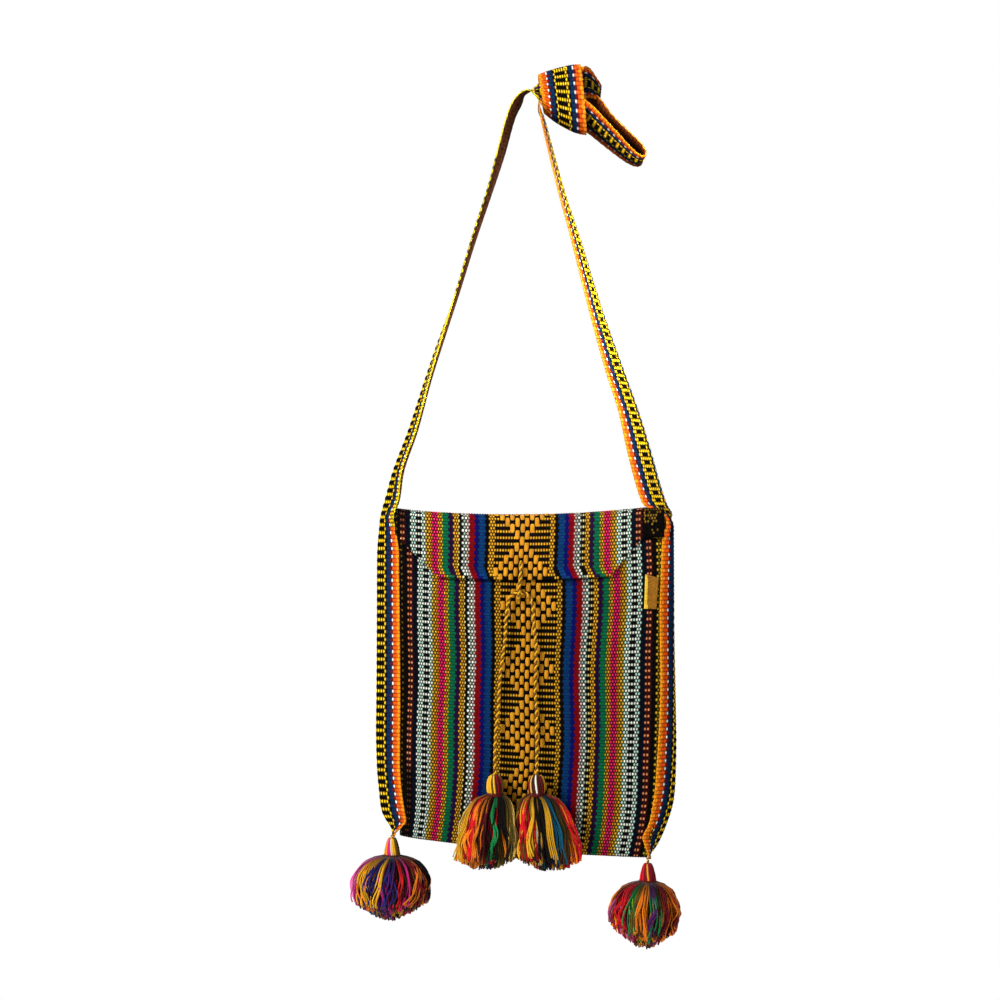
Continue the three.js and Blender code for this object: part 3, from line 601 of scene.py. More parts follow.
def woven_yarn(name, tint=(1, 1, 1), lift=(0, 0, 0), even=None):
    """Warp-faced weave: hard-twisted yarn, matt, full colour on the crown of each grain and painted shade
    between them.
    """
    material = surface(name, {"Roughness": 0.85, "Specular IOR Level": 0.03})
    colour = node(material, "ShaderNodeAttribute", attribute_name="thread_colour")
    where = node(material, "ShaderNodeUVMap", uv_map="weave")
    # Fibres about 0.4 mm wide and 2 mm long, slanting with the twist of the threads
    fibres = fibre_noise(material, where.outputs["UV"], (2.6, 0.5, 1.0), 0.2, 1.5, 4.0)
    grain = node(material, "ShaderNodeUVMap", uv_map="grain")
    away = node(material, "ShaderNodeVectorMath", {0: grain.outputs["UV"]}, operation="LENGTH")
    gap = node(material, "ShaderNodeAttribute", attribute_name="thread_gap_shade")
    # Painted shade: darker away from the crown of each grain, down to the shade value of its thread
    crown = {"From Min": 0.25, "From Max": 0.84, "To Min": 1.0}
    crown["To Max"] = gap.outputs["Fac"] if even is None else even
    crown["Value"] = away.outputs["Value"]
    round_top = node(material, "ShaderNodeMapRange", crown, interpolation_type="SMOOTHSTEP")
    both = {0: round_top.outputs["Result"], 1: shades(material, fibres, 0.78, 1.14)}
    depth = node(material, "ShaderNodeMath", both, operation="MULTIPLY").outputs["Value"]
    dyed = {0: colour.outputs["Color"], 1: tint, 2: lift}
    tinted = node(material, "ShaderNodeVectorMath", dyed, operation="MULTIPLY_ADD")
    scaled = {0: tinted.outputs["Vector"], "Scale": depth}
    shaded = node(material, "ShaderNodeVectorMath", scaled, operation="SCALE")
    link_shader(material, shaded.outputs["Vector"], depth, 0.5, 0.0005)
    return material


def body_cloth():
    """The whole folded length, from the lower edge of the flap to the mouth of the front."""
    across = np.linspace(-HALF_CLOTH, HALF_CLOTH, CLOTH_COLUMNS)
    s = 0.5 + across / (2 * HALF_CLOTH)
    rows = [flap_row(s, drop) for drop in np.linspace(FLAP_DROP, 0, FLAP_ROWS)]
    front, back = flap_row(s, 0), panel_row(s, 0, 1, BACK_DRIFT)
    for angle in np.linspace(0, np.pi, FOLD_ROWS + 2)[1:-1]:
        row = lerp(front, back, (1 - np.cos(angle)) / 2)
        row[:, 2] += FOLD_RISE * np.sin(angle)
        rows.append(row)
    rows += [panel_row(s, down, 1, BACK_DRIFT) for down in np.linspace(0, 1, PANEL_ROWS)]
    low = panel_row(s, 1, 1, BACK_DRIFT)
    for angle in np.linspace(0, np.pi, KEEL_ROWS + 2)[1:-1]:
        row = low.copy()
        row[:, 2] -= low[:, 1] * np.sin(angle)
        row[:, 1] *= np.cos(angle)
        rows.append(row)
    rows += [panel_row(s, down, -1, FRONT_DRIFT) for down in np.linspace(1, MOUTH, PANEL_ROWS)]
    rows = np.array(rows)
    x, z = rows[..., 0], rows[..., 2]
    inside = 1 - (2 * s - 1) ** 8
    rows[..., 1] += WAVE_DEPTH * inside * (np.sin(x / 13 + z / 90) + 0.6 * np.sin(x / 7.3 - z / 60 + 1.3))
    rows[..., 0] += WAVE_SWAY * inside * (np.sin(z / 31 + x / 50) + 0.7 * np.sin(z / 14.5 - x / 40 + 0.8))
    return Cloth(rows, across)


body = body_cloth()
cloth_threads, cloth_owners = chart_threads(CLOTH_STRIPES)
cloth_material = woven_yarn("wool and cotton cloth, warp-faced weave")


def lozenge_half(offset):
    """Half width of the lozenge at a pick counted from its waist."""
    here = LOZENGE_ROWS[(offset // 2) % len(LOZENGE_ROWS)]
    if offset % 2:
        here = min(here, LOZENGE_ROWS[(offset // 2 + 1) % len(LOZENGE_ROWS)])
    return (here - 1) * FLOAT_ACROSS + FLOAT_WIDTH / 2 + 0.5


def cut_away(piece, a, b, outer, across, height):
    """Cuts away what lies on the outer side of a line through two places of the front view, but only
    from the stretch of a piece between two places across and two heights."""
    run = np.array(b) - np.array(a)
    square = np.array([run[1], -run[0]])
    square = square if square @ np.array(outer) > 0 else -square

    def chosen(x, z):
        return across[0] < x < across[1] and height[0] < z < height[1]

    def outside(x, z):
        return chosen(x, z) and (x - a[0]) * square[0] + (z - a[1]) * square[1] > 0

    def select(wanted):
        bpy.ops.object.mode_set(mode="EDIT")
        bpy.ops.mesh.select_mode(type="FACE")
        bpy.ops.mesh.select_all(action="DESELECT")
        bpy.ops.object.mode_set(mode="OBJECT")
        for polygon in piece.data.polygons:
            x, _, z = polygon.center / MM
            polygon.select = bool(wanted(x, z))
        bpy.ops.object.mode_set(mode="EDIT")

    select(chosen)
    bpy.ops.mesh.bisect(plane_co=(a[0] * MM, 0, a[1] * MM), plane_no=(square[0], 0, square[1]))
    select(outside)
    bpy.ops.mesh.delete(type="FACE")
    bpy.ops.object.mode_set(mode="OBJECT")


# The flap's lower corners are turned under along slanting lines, the right one with a step, and at the
# top right the flap and the back leave room for the strap: two places on each line, the way to the side
# that goes, and the stretch that is cut, across and in height
FAR = 1000.0
CLOTH_CUTS = {
    "flap": (
        ((-104.5, -367.5), (-72.0, -400.0), (-1, -1), (-FAR, 0.0), (-FAR, FAR)),
        ((111.5, -365.0), (91.0, -366.5), (1, -1), (91.0, FAR), (-FAR, FAR)),
        ((91.0, -366.5), (66.0, -396.5), (1, -1), (0.0, 91.3), (-FAR, -360.0)),
        ((91.0, -339.8), (111.5, -351.0), (1, 1), (80.0, FAR), (-357.0, FAR)),
    ),
    "back": (((99.0, -339.8), (108.5, -346.3), (1, 1), (80.0, FAR), (-348.0, FAR)),),
    "front": (),
}
# The top right corner of the flap is doubled and painted as its gold edge in shade: black, with dim gold dots
# that thin out downwards
CORNER_LEFT, CORNER_RIGHT, CORNER_TOP, CORNER_TALL = 93.0, 110.2, -341.4, 24.0
CORNER_STAND_OFF, CORNER_TUCK, CORNER_SLOPE = 1.5, 0.8, 0.06
CORNER_THREADS = np.linspace(0.4, CORNER_RIGHT - CORNER_LEFT - 0.4, 16)
CORNER_DOTS = ((0, 9, 16), (1, 0.9, 0.05))
CORNER_COLUMNS, CORNER_ROWS = 13, 9


def corner_patch():
    """The doubled corner of the flap, from its lower edge up to the top."""
    x = np.linspace(CORNER_LEFT, CORNER_RIGHT, CORNER_COLUMNS)
    rows = []
    for rise in np.linspace(0, 1, CORNER_ROWS):
        y = -half_depth(mouth_place(x), 0) - FLAP_STAND_OFF - CORNER_STAND_OFF + CORNER_TUCK * rise**3
        z = CORNER_TOP - CORNER_TALL * (1 - rise) + CORNER_SLOPE * (x - CORNER_LEFT)
        rows.append(np.stack([x, y, z], -1))
    return Cloth(np.array(rows), x - CORNER_LEFT)


def corner_colours(picks):
    chart = np.empty((picks, len(CORNER_THREADS), 4))
    chart[:] = yarn("black")
    # Painted shade: dim gold dots on black that grow fewer downwards, each grain dimmed by a random amount,
    # and a dim gold top edge
    bright = np.linspace(0.1, 0.75, picks)[:, None] * np.interp(CORNER_THREADS, *CORNER_DOTS)
    chart[draw.random(bright.shape) < bright] = yarn("offcut gold")
    chart[-1] = yarn("offcut edge")
    chart[..., :3] *= draw.uniform(0.3, 1.2, bright.shape)[..., None]
    return chart


# The left edge of the cloth is painted black as the shade of the strap, with one gold thread painted dim in
# that shade. Beside it
# the peach dashes are painted in shade at the top of the flap, and at the bottom of the front, where the
# cloth is gathered:
# heights, and how light they are there
SHADED_EDGE, SHADED_GOLD_THREAD = -101.5, -103.6
BESIDE_STRAP = {"flap": ((-364, -354), (1.0, 0.25)), "front": ((-566, -556), (0.1, 1.0))}
PEACH = [stripe[0] for stripe in CLOTH_STRIPES].index("peach dashes")
# The hem of the flap catches the light, and its lowest picks are pulled to the right by so many threads
HEM_PICKS, HEM_LIGHT = 2, 1.25
HEM_SWING = (4, 2, 1)


def cloth_colours(name, waist, heights):
    """The chart of a stretch of the cloth, whose figure has a waist at a pick."""

    def colours(picks):
        chart = thread_chart(CLOTH_STRIPES, cloth_owners, picks, waist)
        for pick in range(picks):
            inside = abs(cloth_threads) < lozenge_half(pick - waist)
            chart[pick, inside & (cloth_owners == 0)] = yarn("black")
        chart[:, cloth_threads < SHADED_EDGE] = yarn("black")
        chart[::2, np.argmin(abs(cloth_threads - SHADED_GOLD_THREAD))] = yarn("dull gold")
        if name in BESIDE_STRAP:
            dashes = (cloth_owners == PEACH) & (cloth_threads < 0)
            chart[:, dashes, :3] *= np.interp(heights, *BESIDE_STRAP[name])[:, None, None]
        if name == "flap":
            chart[:HEM_PICKS, :, :3] *= HEM_LIGHT
            for pick, threads in enumerate(HEM_SWING):
                chart[pick] = np.roll(chart[pick], threads, axis=0)
        return chart

    return colours


# Each stretch of the cloth: its two ends along the length, and the height where the figure has a waist
CLOTH_PIECES = (
    ("flap", 0.0, body.along[CREST], -368.0),
    ("back", body.along[CREST], body.along[KEEL], -447.0),
    ("front", body.along[KEEL], body.along[-1], -447.0),
)
float_places = []
for name, start, stop, waist_z in CLOTH_PIECES:
    picks = max(2, round((stop - start) / PICK_MM))
    step = (stop - start) / picks
    heights = body.at(start + (np.arange(picks) + 0.5) * step, np.zeros(picks))[:, 2] / MM
    waist = int(np.argmin(abs(heights - waist_z)))
    for pick in range(waist % 2, picks, 2):
        count = LOZENGE_ROWS[((pick - waist) // 2) % len(LOZENGE_ROWS)]
        for k in range(count):
            across = (2 * k - count + 1) * FLOAT_ACROSS
            float_places.append((start + (pick + 0.5) * step, across, step * 2 / FLOAT_PICKS))
    colours = cloth_colours(name, waist, heights)
    piece = weave(f"{name}_weave", body, start, stop, PICK_MM, cloth_threads, colours)
    for cut in CLOTH_CUTS[name]:
        cut_away(piece, *cut)
    if name == "flap":
        patch = corner_patch()
        corner = weave("flap_corner", patch, 0, CORNER_TALL, PICK_MM, CORNER_THREADS, corner_colours)
        choose(piece, corner)
        bpy.ops.object.join()
    piece.data.materials.append(cloth_material)
    thicken(piece, CLOTH_MM)
    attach(piece, "root")
    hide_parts(f"{name}_cloth")


# Brocade floats: the gold figure down the middle of the cloth. Each float is a soft thick gold yarn that
# rides over the ground weave for two picks, so it stands up from the cloth as a small pillow.
FLOAT_SEAT = 0.1
# How far the floats lie out of line, how uneven they are in height and in tone, and how square a pillow is
FLOAT_WOBBLE, FLOAT_UNEVEN, FLOAT_TONES = 0.12, 0.06, 0.07
PILLOW_POWER = 0.5
FLOAT_GOLD = np.array(linear("#BE8016"))
bpy.ops.mesh.primitive_uv_sphere_add(segments=8, ring_count=6, radius=1)
pillow = bpy.context.active_object
pillow.name = "brocade_floats"
shape = np.array([v.co for v in pillow.data.vertices])
shape = np.sign(shape) * np.abs(shape) ** PILLOW_POWER
# The faces of a new ball don't always come in the same order
faces = sorted(list(p.vertices) for p in pillow.data.polygons)
along, across, height, tint, polygons = [], [], [], [], []
for number, (place, side, stretch) in enumerate(float_places):
    wobble = draw.normal(0, FLOAT_WOBBLE, 2)
    along.append(place + wobble[0] + shape[:, 2] * FLOAT_LENGTH / 2 * stretch)
    across.append(side + wobble[1] + shape[:, 0] * FLOAT_WIDTH / 2)
    height.append(FLOAT_SEAT + shape[:, 1] * FLOAT_HEIGHT * draw.normal(1, FLOAT_UNEVEN))
    tint.append(np.repeat([draw.normal(1, FLOAT_TONES)], len(shape)))
    polygons += [[number * len(shape) + v for v in face] for face in faces]
along, across, height = np.concatenate(along), np.concatenate(across), np.concatenate(height)
mesh = bpy.data.meshes.new("brocade_floats")
mesh.from_pydata(body.at(np.clip(along, 0, body.along[-1]), across, height), [], polygons)
corners = corner_points(mesh)
shade = np.concatenate(tint)[corners, None] * FLOAT_GOLD
shade[:, 3] = 1
paint_corners(mesh, shade)
map_corners(mesh, "yarn", np.stack([across[corners] / FLOAT_ACROSS, along[corners]], -1))
mesh.shade_smooth()
pillow.data = mesh
choose(pillow)
bpy.ops.object.mode_set(mode="EDIT")
bpy.ops.mesh.select_all(action="SELECT")
bpy.ops.mesh.normals_make_consistent(inside=False)
bpy.ops.object.mode_set(mode="OBJECT")
float_yarn = spun_yarn("soft gold cotton, laid-in brocade float", roughness=0.7, sheen=0.08, fibre_mm=2.2)
mesh.materials.append(float_yarn)
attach(pillow, "root")
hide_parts("flap_cloth", "back_cloth", "front_cloth")


# Strap: one long woven band. It is sewn as the side of the bag on the left, goes up over the hanging point,
# is shortened by a knot with a loose bight, and comes down to be the side on the right.
# Its two ends are gathered to points at the bottom corners.
HALF_STRAP = 20.0
STRAP_PICK = 3.24
STRAP_MM = 1.0
SEAM_RISE = 1.3
STRAP_STRIPES = (
    ("ladder", 4.4, 4, "black", "ladder gold"),
    ("gold column", 2.0, 2, "ladder gold"),
    ("black line", 0.8, 1, "black"),
    ("navy", 3.8, 4, "deep navy"),
    ("white dashes", 2.3, 2, "dark red", "bright white"),
    ("orange", 3.6, 3, "strap orange"),
    ("amber", 2.1, 2, "strap amber"),
    ("selvedge", 1.0, 1, "strap amber"),
)
YARN_COLOURS.update(
    {
        "ladder gold": "#FACA1C",
        "deep navy": "#0A2444",
        "dark red": "#6C1014",
        "bright white": "#F4F0EA",
        "strap orange": "#DC5210",
        "strap amber": "#EE8A1A",
    }
)
GAP_SHADES.update({"strap orange": -0.3, "strap amber": -0.4, "deep navy": -0.5, "dark red": 0.4})
# The side of the bag on its way down: how far the fold of the strap stands out from the seam, how far its
# edges lie over the cloth, and where the fold is between its back edge (-1) and its front edge (1)
SIDES = {
    "left": (
        (0.0, 0.05, 0.1, 0.15, 0.5, 0.68, 0.8, 0.87, 0.91, 0.94, 0.965, 0.985, 1.0),
        (13.9, 15.6, 17.0, 17.6, 19.2, 19.4, 18.3, 17.0, 16.2, 14.6, 11.0, 7.3, 6.0),
        (-2.8, -1.0, 0.8, 0.8, 0.6, 0.8, 1.0, 2.1, 3.3, 4.4, 5.4, 1.5, -3.0),
        (-0.12,) * 13,
    ),
    "right": (
        (0.0, 0.03, 0.05, 0.07, 0.15, 0.3, 0.4, 0.55, 0.73, 0.81, 0.855, 0.892, 0.919, 0.948, 0.975, 1.0),
        (8.6, 9.0, 9.2, 9.3, 9.3, 9.4, 9.8, 11.2, 12.8, 13.0, 12.6, 11.0, 9.4, 7.5, 5.4, 2.0),
        (-3.2, -3.0, -1.0, 0.4, 1.7, 3.4, 2.6, 2.2, 3.9, 4.3, 4.9, 5.2, 6.4, 9.0, 4.6, 0.0),
        (0.34, 0.34, 0.34, 0.34, 0.3, 0.27, 0.22, 0.14, 0.06, 0.02, 0.0, 0.0, 0.0, 0.0, 0.0, 0.0),
    ),
}
SIDE_CREASE = {"left": 1.1, "right": 0.9}
SIDE_TOP = {"left": 0.0, "right": 0.03}
RUN_FOLD = {"left": (-0.15, 1.7), "right": (-0.45, 1.0)}
# Ends and runs: x, y, z, half width, height of the fold, turn of the front edge inwards in degrees
STRAP_POINT = {"left": (-110.4, 0, -610.4, 1.4, 1.8, 0), "right": (98.2, 0, -628.8, 1.4, 1.8, 0)}
LEFT_RUN = (
    (-106.8, 0, -334, 11.0, 11.0, 0),
    (-103.5, 0, -310, 17.0, 7.6, 0),
    (-92.0, 0, -277, 18.4, 6.6, 1),
    (-81.0, 0, -236, 19.4, 4.2, 1),
    (-71.0, 0, -203, 19.6, 2.9, 0),
    (-58.0, 0, -162, 20.0, 0.6, -1),
    (-45.5, 0, -121, 20.0, 0.6, -2),
    (-32.0, 0, -80, 20.0, 0.6, -3.5),
    (-22.5, 0, -48, 20.0, 0.8, -7),
    (-14.0, 0, -18, 18.0, 1.5, -8),
)
RIGHT_RUN = (
    (9.5, 0, -19, 16.0, 2.0, 4),
    (15.0, 0, -39, 19.0, 1.5, 8),
    (26.0, 0, -80, 20.0, 1.4, 11),
    (37.6, 0, -121, 19.5, 3.1, 13),
    (53.7, 0, -179, 19.0, 4.3, 18),
    (69.0, 0, -228, 18.5, 5.7, 25),
    (81.0, 0, -262, 18.0, 5.5, 30),
    (89.6, 0.5, -295, 17.5, 7.0, 36),
    (96.4, 1.5, -318, 18.0, 6.2, 38),
    (101.7, 3.0, -335, 17.5, 6.5, 38),
    (104.0, 3.0, -340, 16.5, 7.0, 34),
    (110.2, 1.5, -346.5, 10.5, 6.8, 6),
)
# Through the knot: x, y, z, direction from the back edge to the front edge, half width
INTO_KNOT = (
    (-8.0, 0.0, -6.5, -0.15, -1, 0.0, 15),
    (-3.8, 0.0, -0.8, 0.0, -1, -0.05, 13),
    (1.0, -0.8, 0.8, 0.0, -1, -0.2, 12),
    (6.5, -1.8, 0.0, 0.0, -0.8, -0.6, 12),
    (12.5, -2.6, -1.4, 0.0, -0.35, -0.94, 14.5),
    (22.0, -3.0, -3.5, 0.0, -0.1, -1.0, 18),
    (36.0, -4.0, 1.0, 0.0, -0.05, -1.0, 16),
    (47.0, -5.2, 6.5, -0.05, 0.0, -1.0, 13.5),
    (55.0, -4.2, 1.5, -0.1, 0.0, -1.0, 8.5),
    (58.6, 0.2, -1.0, -0.1, 0.0, -1.0, 6.5),
    (55.0, 4.6, 1.0, -0.1, 0.0, -1.0, 8.5),
    (47.0, 5.6, 5.5, -0.05, 0.0, -1.0, 12.5),
    (36.0, 5.2, 4.0, 0.0, 0.0, -1.0, 15),
)
OUT_OF_KNOT = (
    (34.0, -0.4, -13.0, -0.1, 0.5, -0.86, 14),
    (44.0, -2.6, -18.5, -0.3, 0.85, -0.4, 15.5),
    (55.4, -4.0, -28.8, -0.22, 0.93, -0.29, 17),
    (69.4, -4.0, -41.8, -0.15, 0.97, -0.19, 18),
    (83.4, -3.0, -53.8, -0.07, 0.99, -0.1, 18.5),
    (91.0, -2.0, -57.3, -0.04, 1.0, -0.05, 18.5),
    (94.0, -1.0, -55.0, -0.04, 1.0, -0.05, 18.5),
    (89.8, 0.0, -48.8, -0.09, 0.98, -0.12, 18.5),
    (76.4, 1.0, -37.4, -0.15, 0.96, -0.2, 18),
    (63.6, 3.0, -24.6, -0.2, 0.94, -0.26, 16.5),
    (53.0, 4.0, -13.0, -0.25, 0.7, -0.65, 13),
    (42.0, 3.0, -8.0, -0.05, 0.25, -0.97, 13),
    (26.0, 2.0, -5.0, 0.0, -0.15, -1.0, 15),
    (14.5, 1.8, -3.5, 0.0, -0.4, -0.92, 13),
    (9.6, 1.0, -5.8, 0.0, -0.85, -0.4, 13),
    (8.2, 0.2, -11.5, 0.0, -1, 0.0, 14),
)
# Turn of the strap round the knot: along the knot, its middle height, half height and half depth
WRAP_X = (9.5, 18.0, 28.0, 37.0, 45.0)
WRAP_Z = (-1.6, -3.4, -5.0, -6.0, -6.4)
WRAP_HALF_HEIGHT = (15.0, 20.0, 24.5, 27.5, 28.5)
WRAP_HALF_DEPTH = (9.5, 11.5, 13.0, 14.0, 13.5)
WRAP_START, WRAP_TURN, WRAP_TUCK, WRAP_EASE, WRAP_SLANT = 50.0, 430.0, 0.86, 0.16, 2.5
# How sharp the fold along the strap is
FOLD_SHARP = 14
# Points across the strap, rows round the knot as drawn, and rows along each stretch and the turn before
# they are woven
STRAP_COLUMNS, WRAP_DRAWN = 41, 120
STRAP_ROWS, WRAP_ROWS = 700, 200


def strap_row(centre, across, outward, half, bulge, fold=0.0, crease=1.0):
    """Points across the strap, from its back edge to its front edge, with a fold along it."""
    place = np.linspace(-1, 1, STRAP_COLUMNS)[:, None]
    front, back = (1 - place) / (1 - fold), (1 + place) / (1 + fold)
    slope = -np.log(np.exp(-FOLD_SHARP * front) + np.exp(-FOLD_SHARP * back)) / FOLD_SHARP
    slope = np.maximum(slope, 0) / (1 - math.log(2) / FOLD_SHARP)
    across = np.asarray(across, float) / np.linalg.norm(across)
    flat = np.asarray(centre, float) + half * place * across
    return flat + bulge * slope**crease * np.asarray(outward, float)


def side_row(side, down):
    """The strap round the side of the bag."""
    sign, s = (-1, 0.0) if side == "left" else (1, 1.0)
    x, y, z = panel_row(np.array([s]), down, 1, FRONT_DRIFT)[0]
    order, *columns = SIDES[side]
    bulge, over, fold = (follow(order, column, down)[0] for column in columns)
    half = half_depth(s - sign * max(over, 0) / (2 * HALF_CLOTH), down) + SEAM_RISE
    centre = (x - sign * over, 0, z)
    return strap_row(centre, (0, -1, 0), (sign, 0, 0), half, bulge + over, fold, SIDE_CREASE[side])


def side_steps(side):
    """Places down the side of the bag, closer at its top and its point."""
    stretches = ((SIDE_TOP[side], 0.15, 5), (0.26, 0.8, 6), (0.84, 1, 11))
    return np.concatenate([np.linspace(*stretch) for stretch in stretches])


def run_row(side, x, y, z, half, bulge, turn):
    """The strap on its way up or down between the bag and the knot."""
    sign = -1 if side == "left" else 1
    turn = math.radians(turn)
    across = (-sign * math.sin(turn), -math.cos(turn), 0)
    outward = (sign * math.cos(turn), -math.sin(turn), 0)
    return strap_row((x, y, z), across, outward, half, bulge, *RUN_FOLD[side])


def knot_row(x, y, z, ax, ay, az, half):
    return strap_row((x, y, z), (ax, ay, az), (0, 0, 1), half, 0)


def band(rows, steps):
    """A strap's sheet, smooth along its rows."""
    rows = np.array(rows)
    order = run_length(rows[:, rows.shape[1] // 2])
    dense = follow(order, rows, np.linspace(0, order[-1], steps))
    return Cloth(dense, np.linspace(-HALF_STRAP, HALF_STRAP, STRAP_COLUMNS))


def wrap_rows():
    """The turn round the knot, whose start is tucked in under its end."""
    x = np.linspace(WRAP_X[0], WRAP_X[-1], STRAP_COLUMNS)
    middle, tall, deep = (follow(WRAP_X, w, x) for w in (WRAP_Z, WRAP_HALF_HEIGHT, WRAP_HALF_DEPTH))
    rows = []
    for part in np.linspace(0, 1, WRAP_DRAWN):
        angle = math.radians(WRAP_START + WRAP_TURN * part)
        ease = min(part / WRAP_EASE, 1)
        tuck = lerp(WRAP_TUCK, 1, ease * ease * (3 - 2 * ease))
        y, z = math.cos(angle) * deep * tuck, middle + math.sin(angle) * tall * tuck
        rows.append(np.stack([x - WRAP_SLANT * math.sin(angle), y, z], -1)[::-1])
    return rows


strap_sheets = {
    "left": band(
        [run_row("left", *STRAP_POINT["left"])]
        + [side_row("left", down) for down in side_steps("left")[::-1]]
        + [run_row("left", *place) for place in LEFT_RUN]
        + [knot_row(*place) for place in INTO_KNOT],
        STRAP_ROWS,
    ),
    "knot": band(wrap_rows(), WRAP_ROWS),
    "right": band(
        [knot_row(*place) for place in OUT_OF_KNOT]
        + [run_row("right", *place) for place in RIGHT_RUN]
        + [side_row("right", down) for down in side_steps("right")]
        + [run_row("right", *STRAP_POINT["right"])],
        STRAP_ROWS,
    ),
}
strap_threads, strap_owners = chart_threads(STRAP_STRIPES)
strap_materials = (
    woven_yarn("cotton band, warp-faced weave"),
    woven_yarn("cotton band, reverse in shade", tint=(0.14, 0.06, 0.035), lift=(0.12, 0.032, 0.006)),
    woven_yarn("gold selvedge of the band", tint=(1.0, 1.3, 1.0), even=0.6),
)
# Up the left run the band's edges are gold, and its very edge is in shade along the middle of it: heights.
# On the right run single gold threads catch the light: places across the band.
# The strap is in shade behind the knot and under it, along the lower half of its bight, and where it slips
# behind the flap on the right, apart from its front binding: heights or places, and how light it is there
GOLD_EDGES, EDGE_THREADS = -357, 3
DARK_EDGE, DARK_EDGE_LIGHT = (-165, -57), 0.12
LIT_THREADS = ((-9.1, -8.1), (-4.4, -3.3), (3.3, 4.4))
BEHIND_KNOT, BEHIND_KNOT_LIGHT = 46.0, 0.25
UNDER_KNOT = ((-34, -16), (0.45, 1.0))
BIGHT_LENGTH, BIGHT_FOLD, BIGHT_LIGHT = 80.0, 3.5, 0.2
BEHIND_FLAP = ((-372, -364, -346, -340), (1.0, 0.22, 0.22, 1.0))
FRONT_BINDING = 13.0


def strap_colours(sheet, name):
    """The band's chart, with the parts of it that are in shade."""

    def chart(picks):
        colours = thread_chart(STRAP_STRIPES, strap_owners, picks, 0)
        along = (np.arange(picks) + 0.5) * sheet.along[-1] / picks
        x, _, z = sheet.at(along, np.zeros(picks)).T / MM
        shade = np.ones(colours.shape[:2])
        if name == "left":
            run = (z > GOLD_EDGES) & (x < WRAP_X[0])
            edge = strap_owners >= len(STRAP_STRIPES) - EDGE_THREADS
            colours[np.ix_(run, edge)] = yarn("ladder gold")
            selvedge = strap_owners == len(STRAP_STRIPES) - 1
            dark = run & (z > DARK_EDGE[0]) & (z < DARK_EDGE[1])
            shade[np.ix_(dark, selvedge)] = DARK_EDGE_LIGHT
            shade[x > BEHIND_KNOT] = BEHIND_KNOT_LIGHT
        elif name == "knot":
            shade *= np.interp(z, *UNDER_KNOT)[:, None]
        else:
            run = (along > 2 * BIGHT_LENGTH) & (z < UNDER_KNOT[0][0]) & (z > BEHIND_FLAP[0][-1])
            for low, high in LIT_THREADS:
                lit = (strap_threads > low) & (strap_threads < high)
                colours[np.ix_(run, lit)] = yarn("ladder gold")
            shade[np.ix_(along < BIGHT_LENGTH, strap_threads > BIGHT_FOLD)] = BIGHT_LIGHT
            shade[:, strap_threads < FRONT_BINDING] *= np.interp(z, *BEHIND_FLAP)[:, None]
        colours[..., :3] *= shade[..., None]
        return colours

    return chart


parts = []
for name, sheet in strap_sheets.items():
    chart = strap_colours(sheet, name)
    part = weave(f"strap_{name}", sheet, 0, sheet.along[-1], STRAP_PICK, strap_threads, chart)
    for material in strap_materials:
        part.data.materials.append(material)
    thicken(part, STRAP_MM, reverse=1, rim=2)
    parts.append(part)
choose(*parts)
bpy.ops.object.join()
strap = bpy.context.active_object
strap.name = strap.data.name = "strap_band"
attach(strap, "root")
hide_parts("strap_side_left", "strap_run_left", "strap_knot", "strap_run_right", "strap_side_right")


# Tassels: bundles of many-coloured acrylic yarn, doubled over a thread, bound at the neck with a few turns
# of dark red yarn. Two hang on the tie cord in front of the bag, two rounder ones at the bottom corners.
YARN_RADIUS = 0.62
HEAD_YARN_RADIUS = 1.0
BINDING_RADIUS = 0.5
LOCK_YARNS = 5
HEAD_YARNS, BINDING_TURNS = 24, 3
# Share of the locks that are curly, share that lie out of their colour's order, and how far yarns crimp
CURLY_LOCKS, STRAY_LOCKS = 0.06, 0.1
CRIMP, CURLY_CRIMP = 1.1, 2.4
# Each lock is set this far round from the one before, which spreads them evenly
LOCK_TURN = 2.39996
# The skirt is painted dark under the head as its shade, and its cut ends a little lighter as painted
# highlights
SKIRT_SHADE_AND_HIGHLIGHT = ((0, 0.06, 0.3, 0.85, 1), (0.12, 0.3, 1, 1, 1.3))
# The skirt's yarns have their middles a little inside its outline
SKIRT_INSIDE = 0.96
# The binding's place: out by a share of the head yarn's radius, down by a share of the head's height, and
# the share of its turns that are above that
BINDING_OUT, BINDING_DOWN, BINDING_ABOVE = 0.6, 0.95, 0.3
# The hanging thread, and how far it goes on above and into the head
HANGER_DIAMETER, HANGER_TWIST = 2.4, 5
HANGER_ABOVE, HANGER_INTO = 0.6, 3
# Points along each yarn
SKIRT_STEPS, HEAD_STEPS, BINDING_STEPS, HANGER_STEPS = 13, 10, 90, 30
TASSEL_PALETTE = {
    "red": "#C4141E",
    "crimson": "#7E0C1E",
    "orange": "#EE7E16",
    "gold": "#E4A81E",
    "straw": "#C8A850",
    "olive": "#6A5416",
    "pink": "#E86AA8",
    "magenta": "#C01C72",
    "purple": "#52165E",
    "navy": "#1E2060",
    "teal": "#0A4A62",
    "green": "#16904A",
    "lime": "#8CBC2C",
    "white": "#EEEADC",
    "brown": "#3E180C",
    "black": "#100808",
}
# How far out the skirt is on the way down, and how much shorter its outer yarns are
SKIRTS = {
    "bell": ((0.0, 0.05, 0.14, 0.4, 0.64, 0.82, 1.0), (0.22, 0.52, 0.68, 0.88, 0.98, 0.99, 0.93), 0.16),
    "dome": ((0.0, 0.05, 0.12, 0.33, 0.55, 0.75, 1.0), (0.2, 0.52, 0.74, 0.97, 1.0, 0.92, 0.66), 0.3),
}
# How far out the head is on the way down: a round one on the bell, a tapering one on the dome
HEAD_DOWN = (0.0, 0.12, 0.35, 0.7, 1.0)
HEADS = {"bell": (0.3, 0.66, 0.92, 1.0, 0.9), "dome": (0.32, 0.52, 0.7, 0.9, 1.0)}
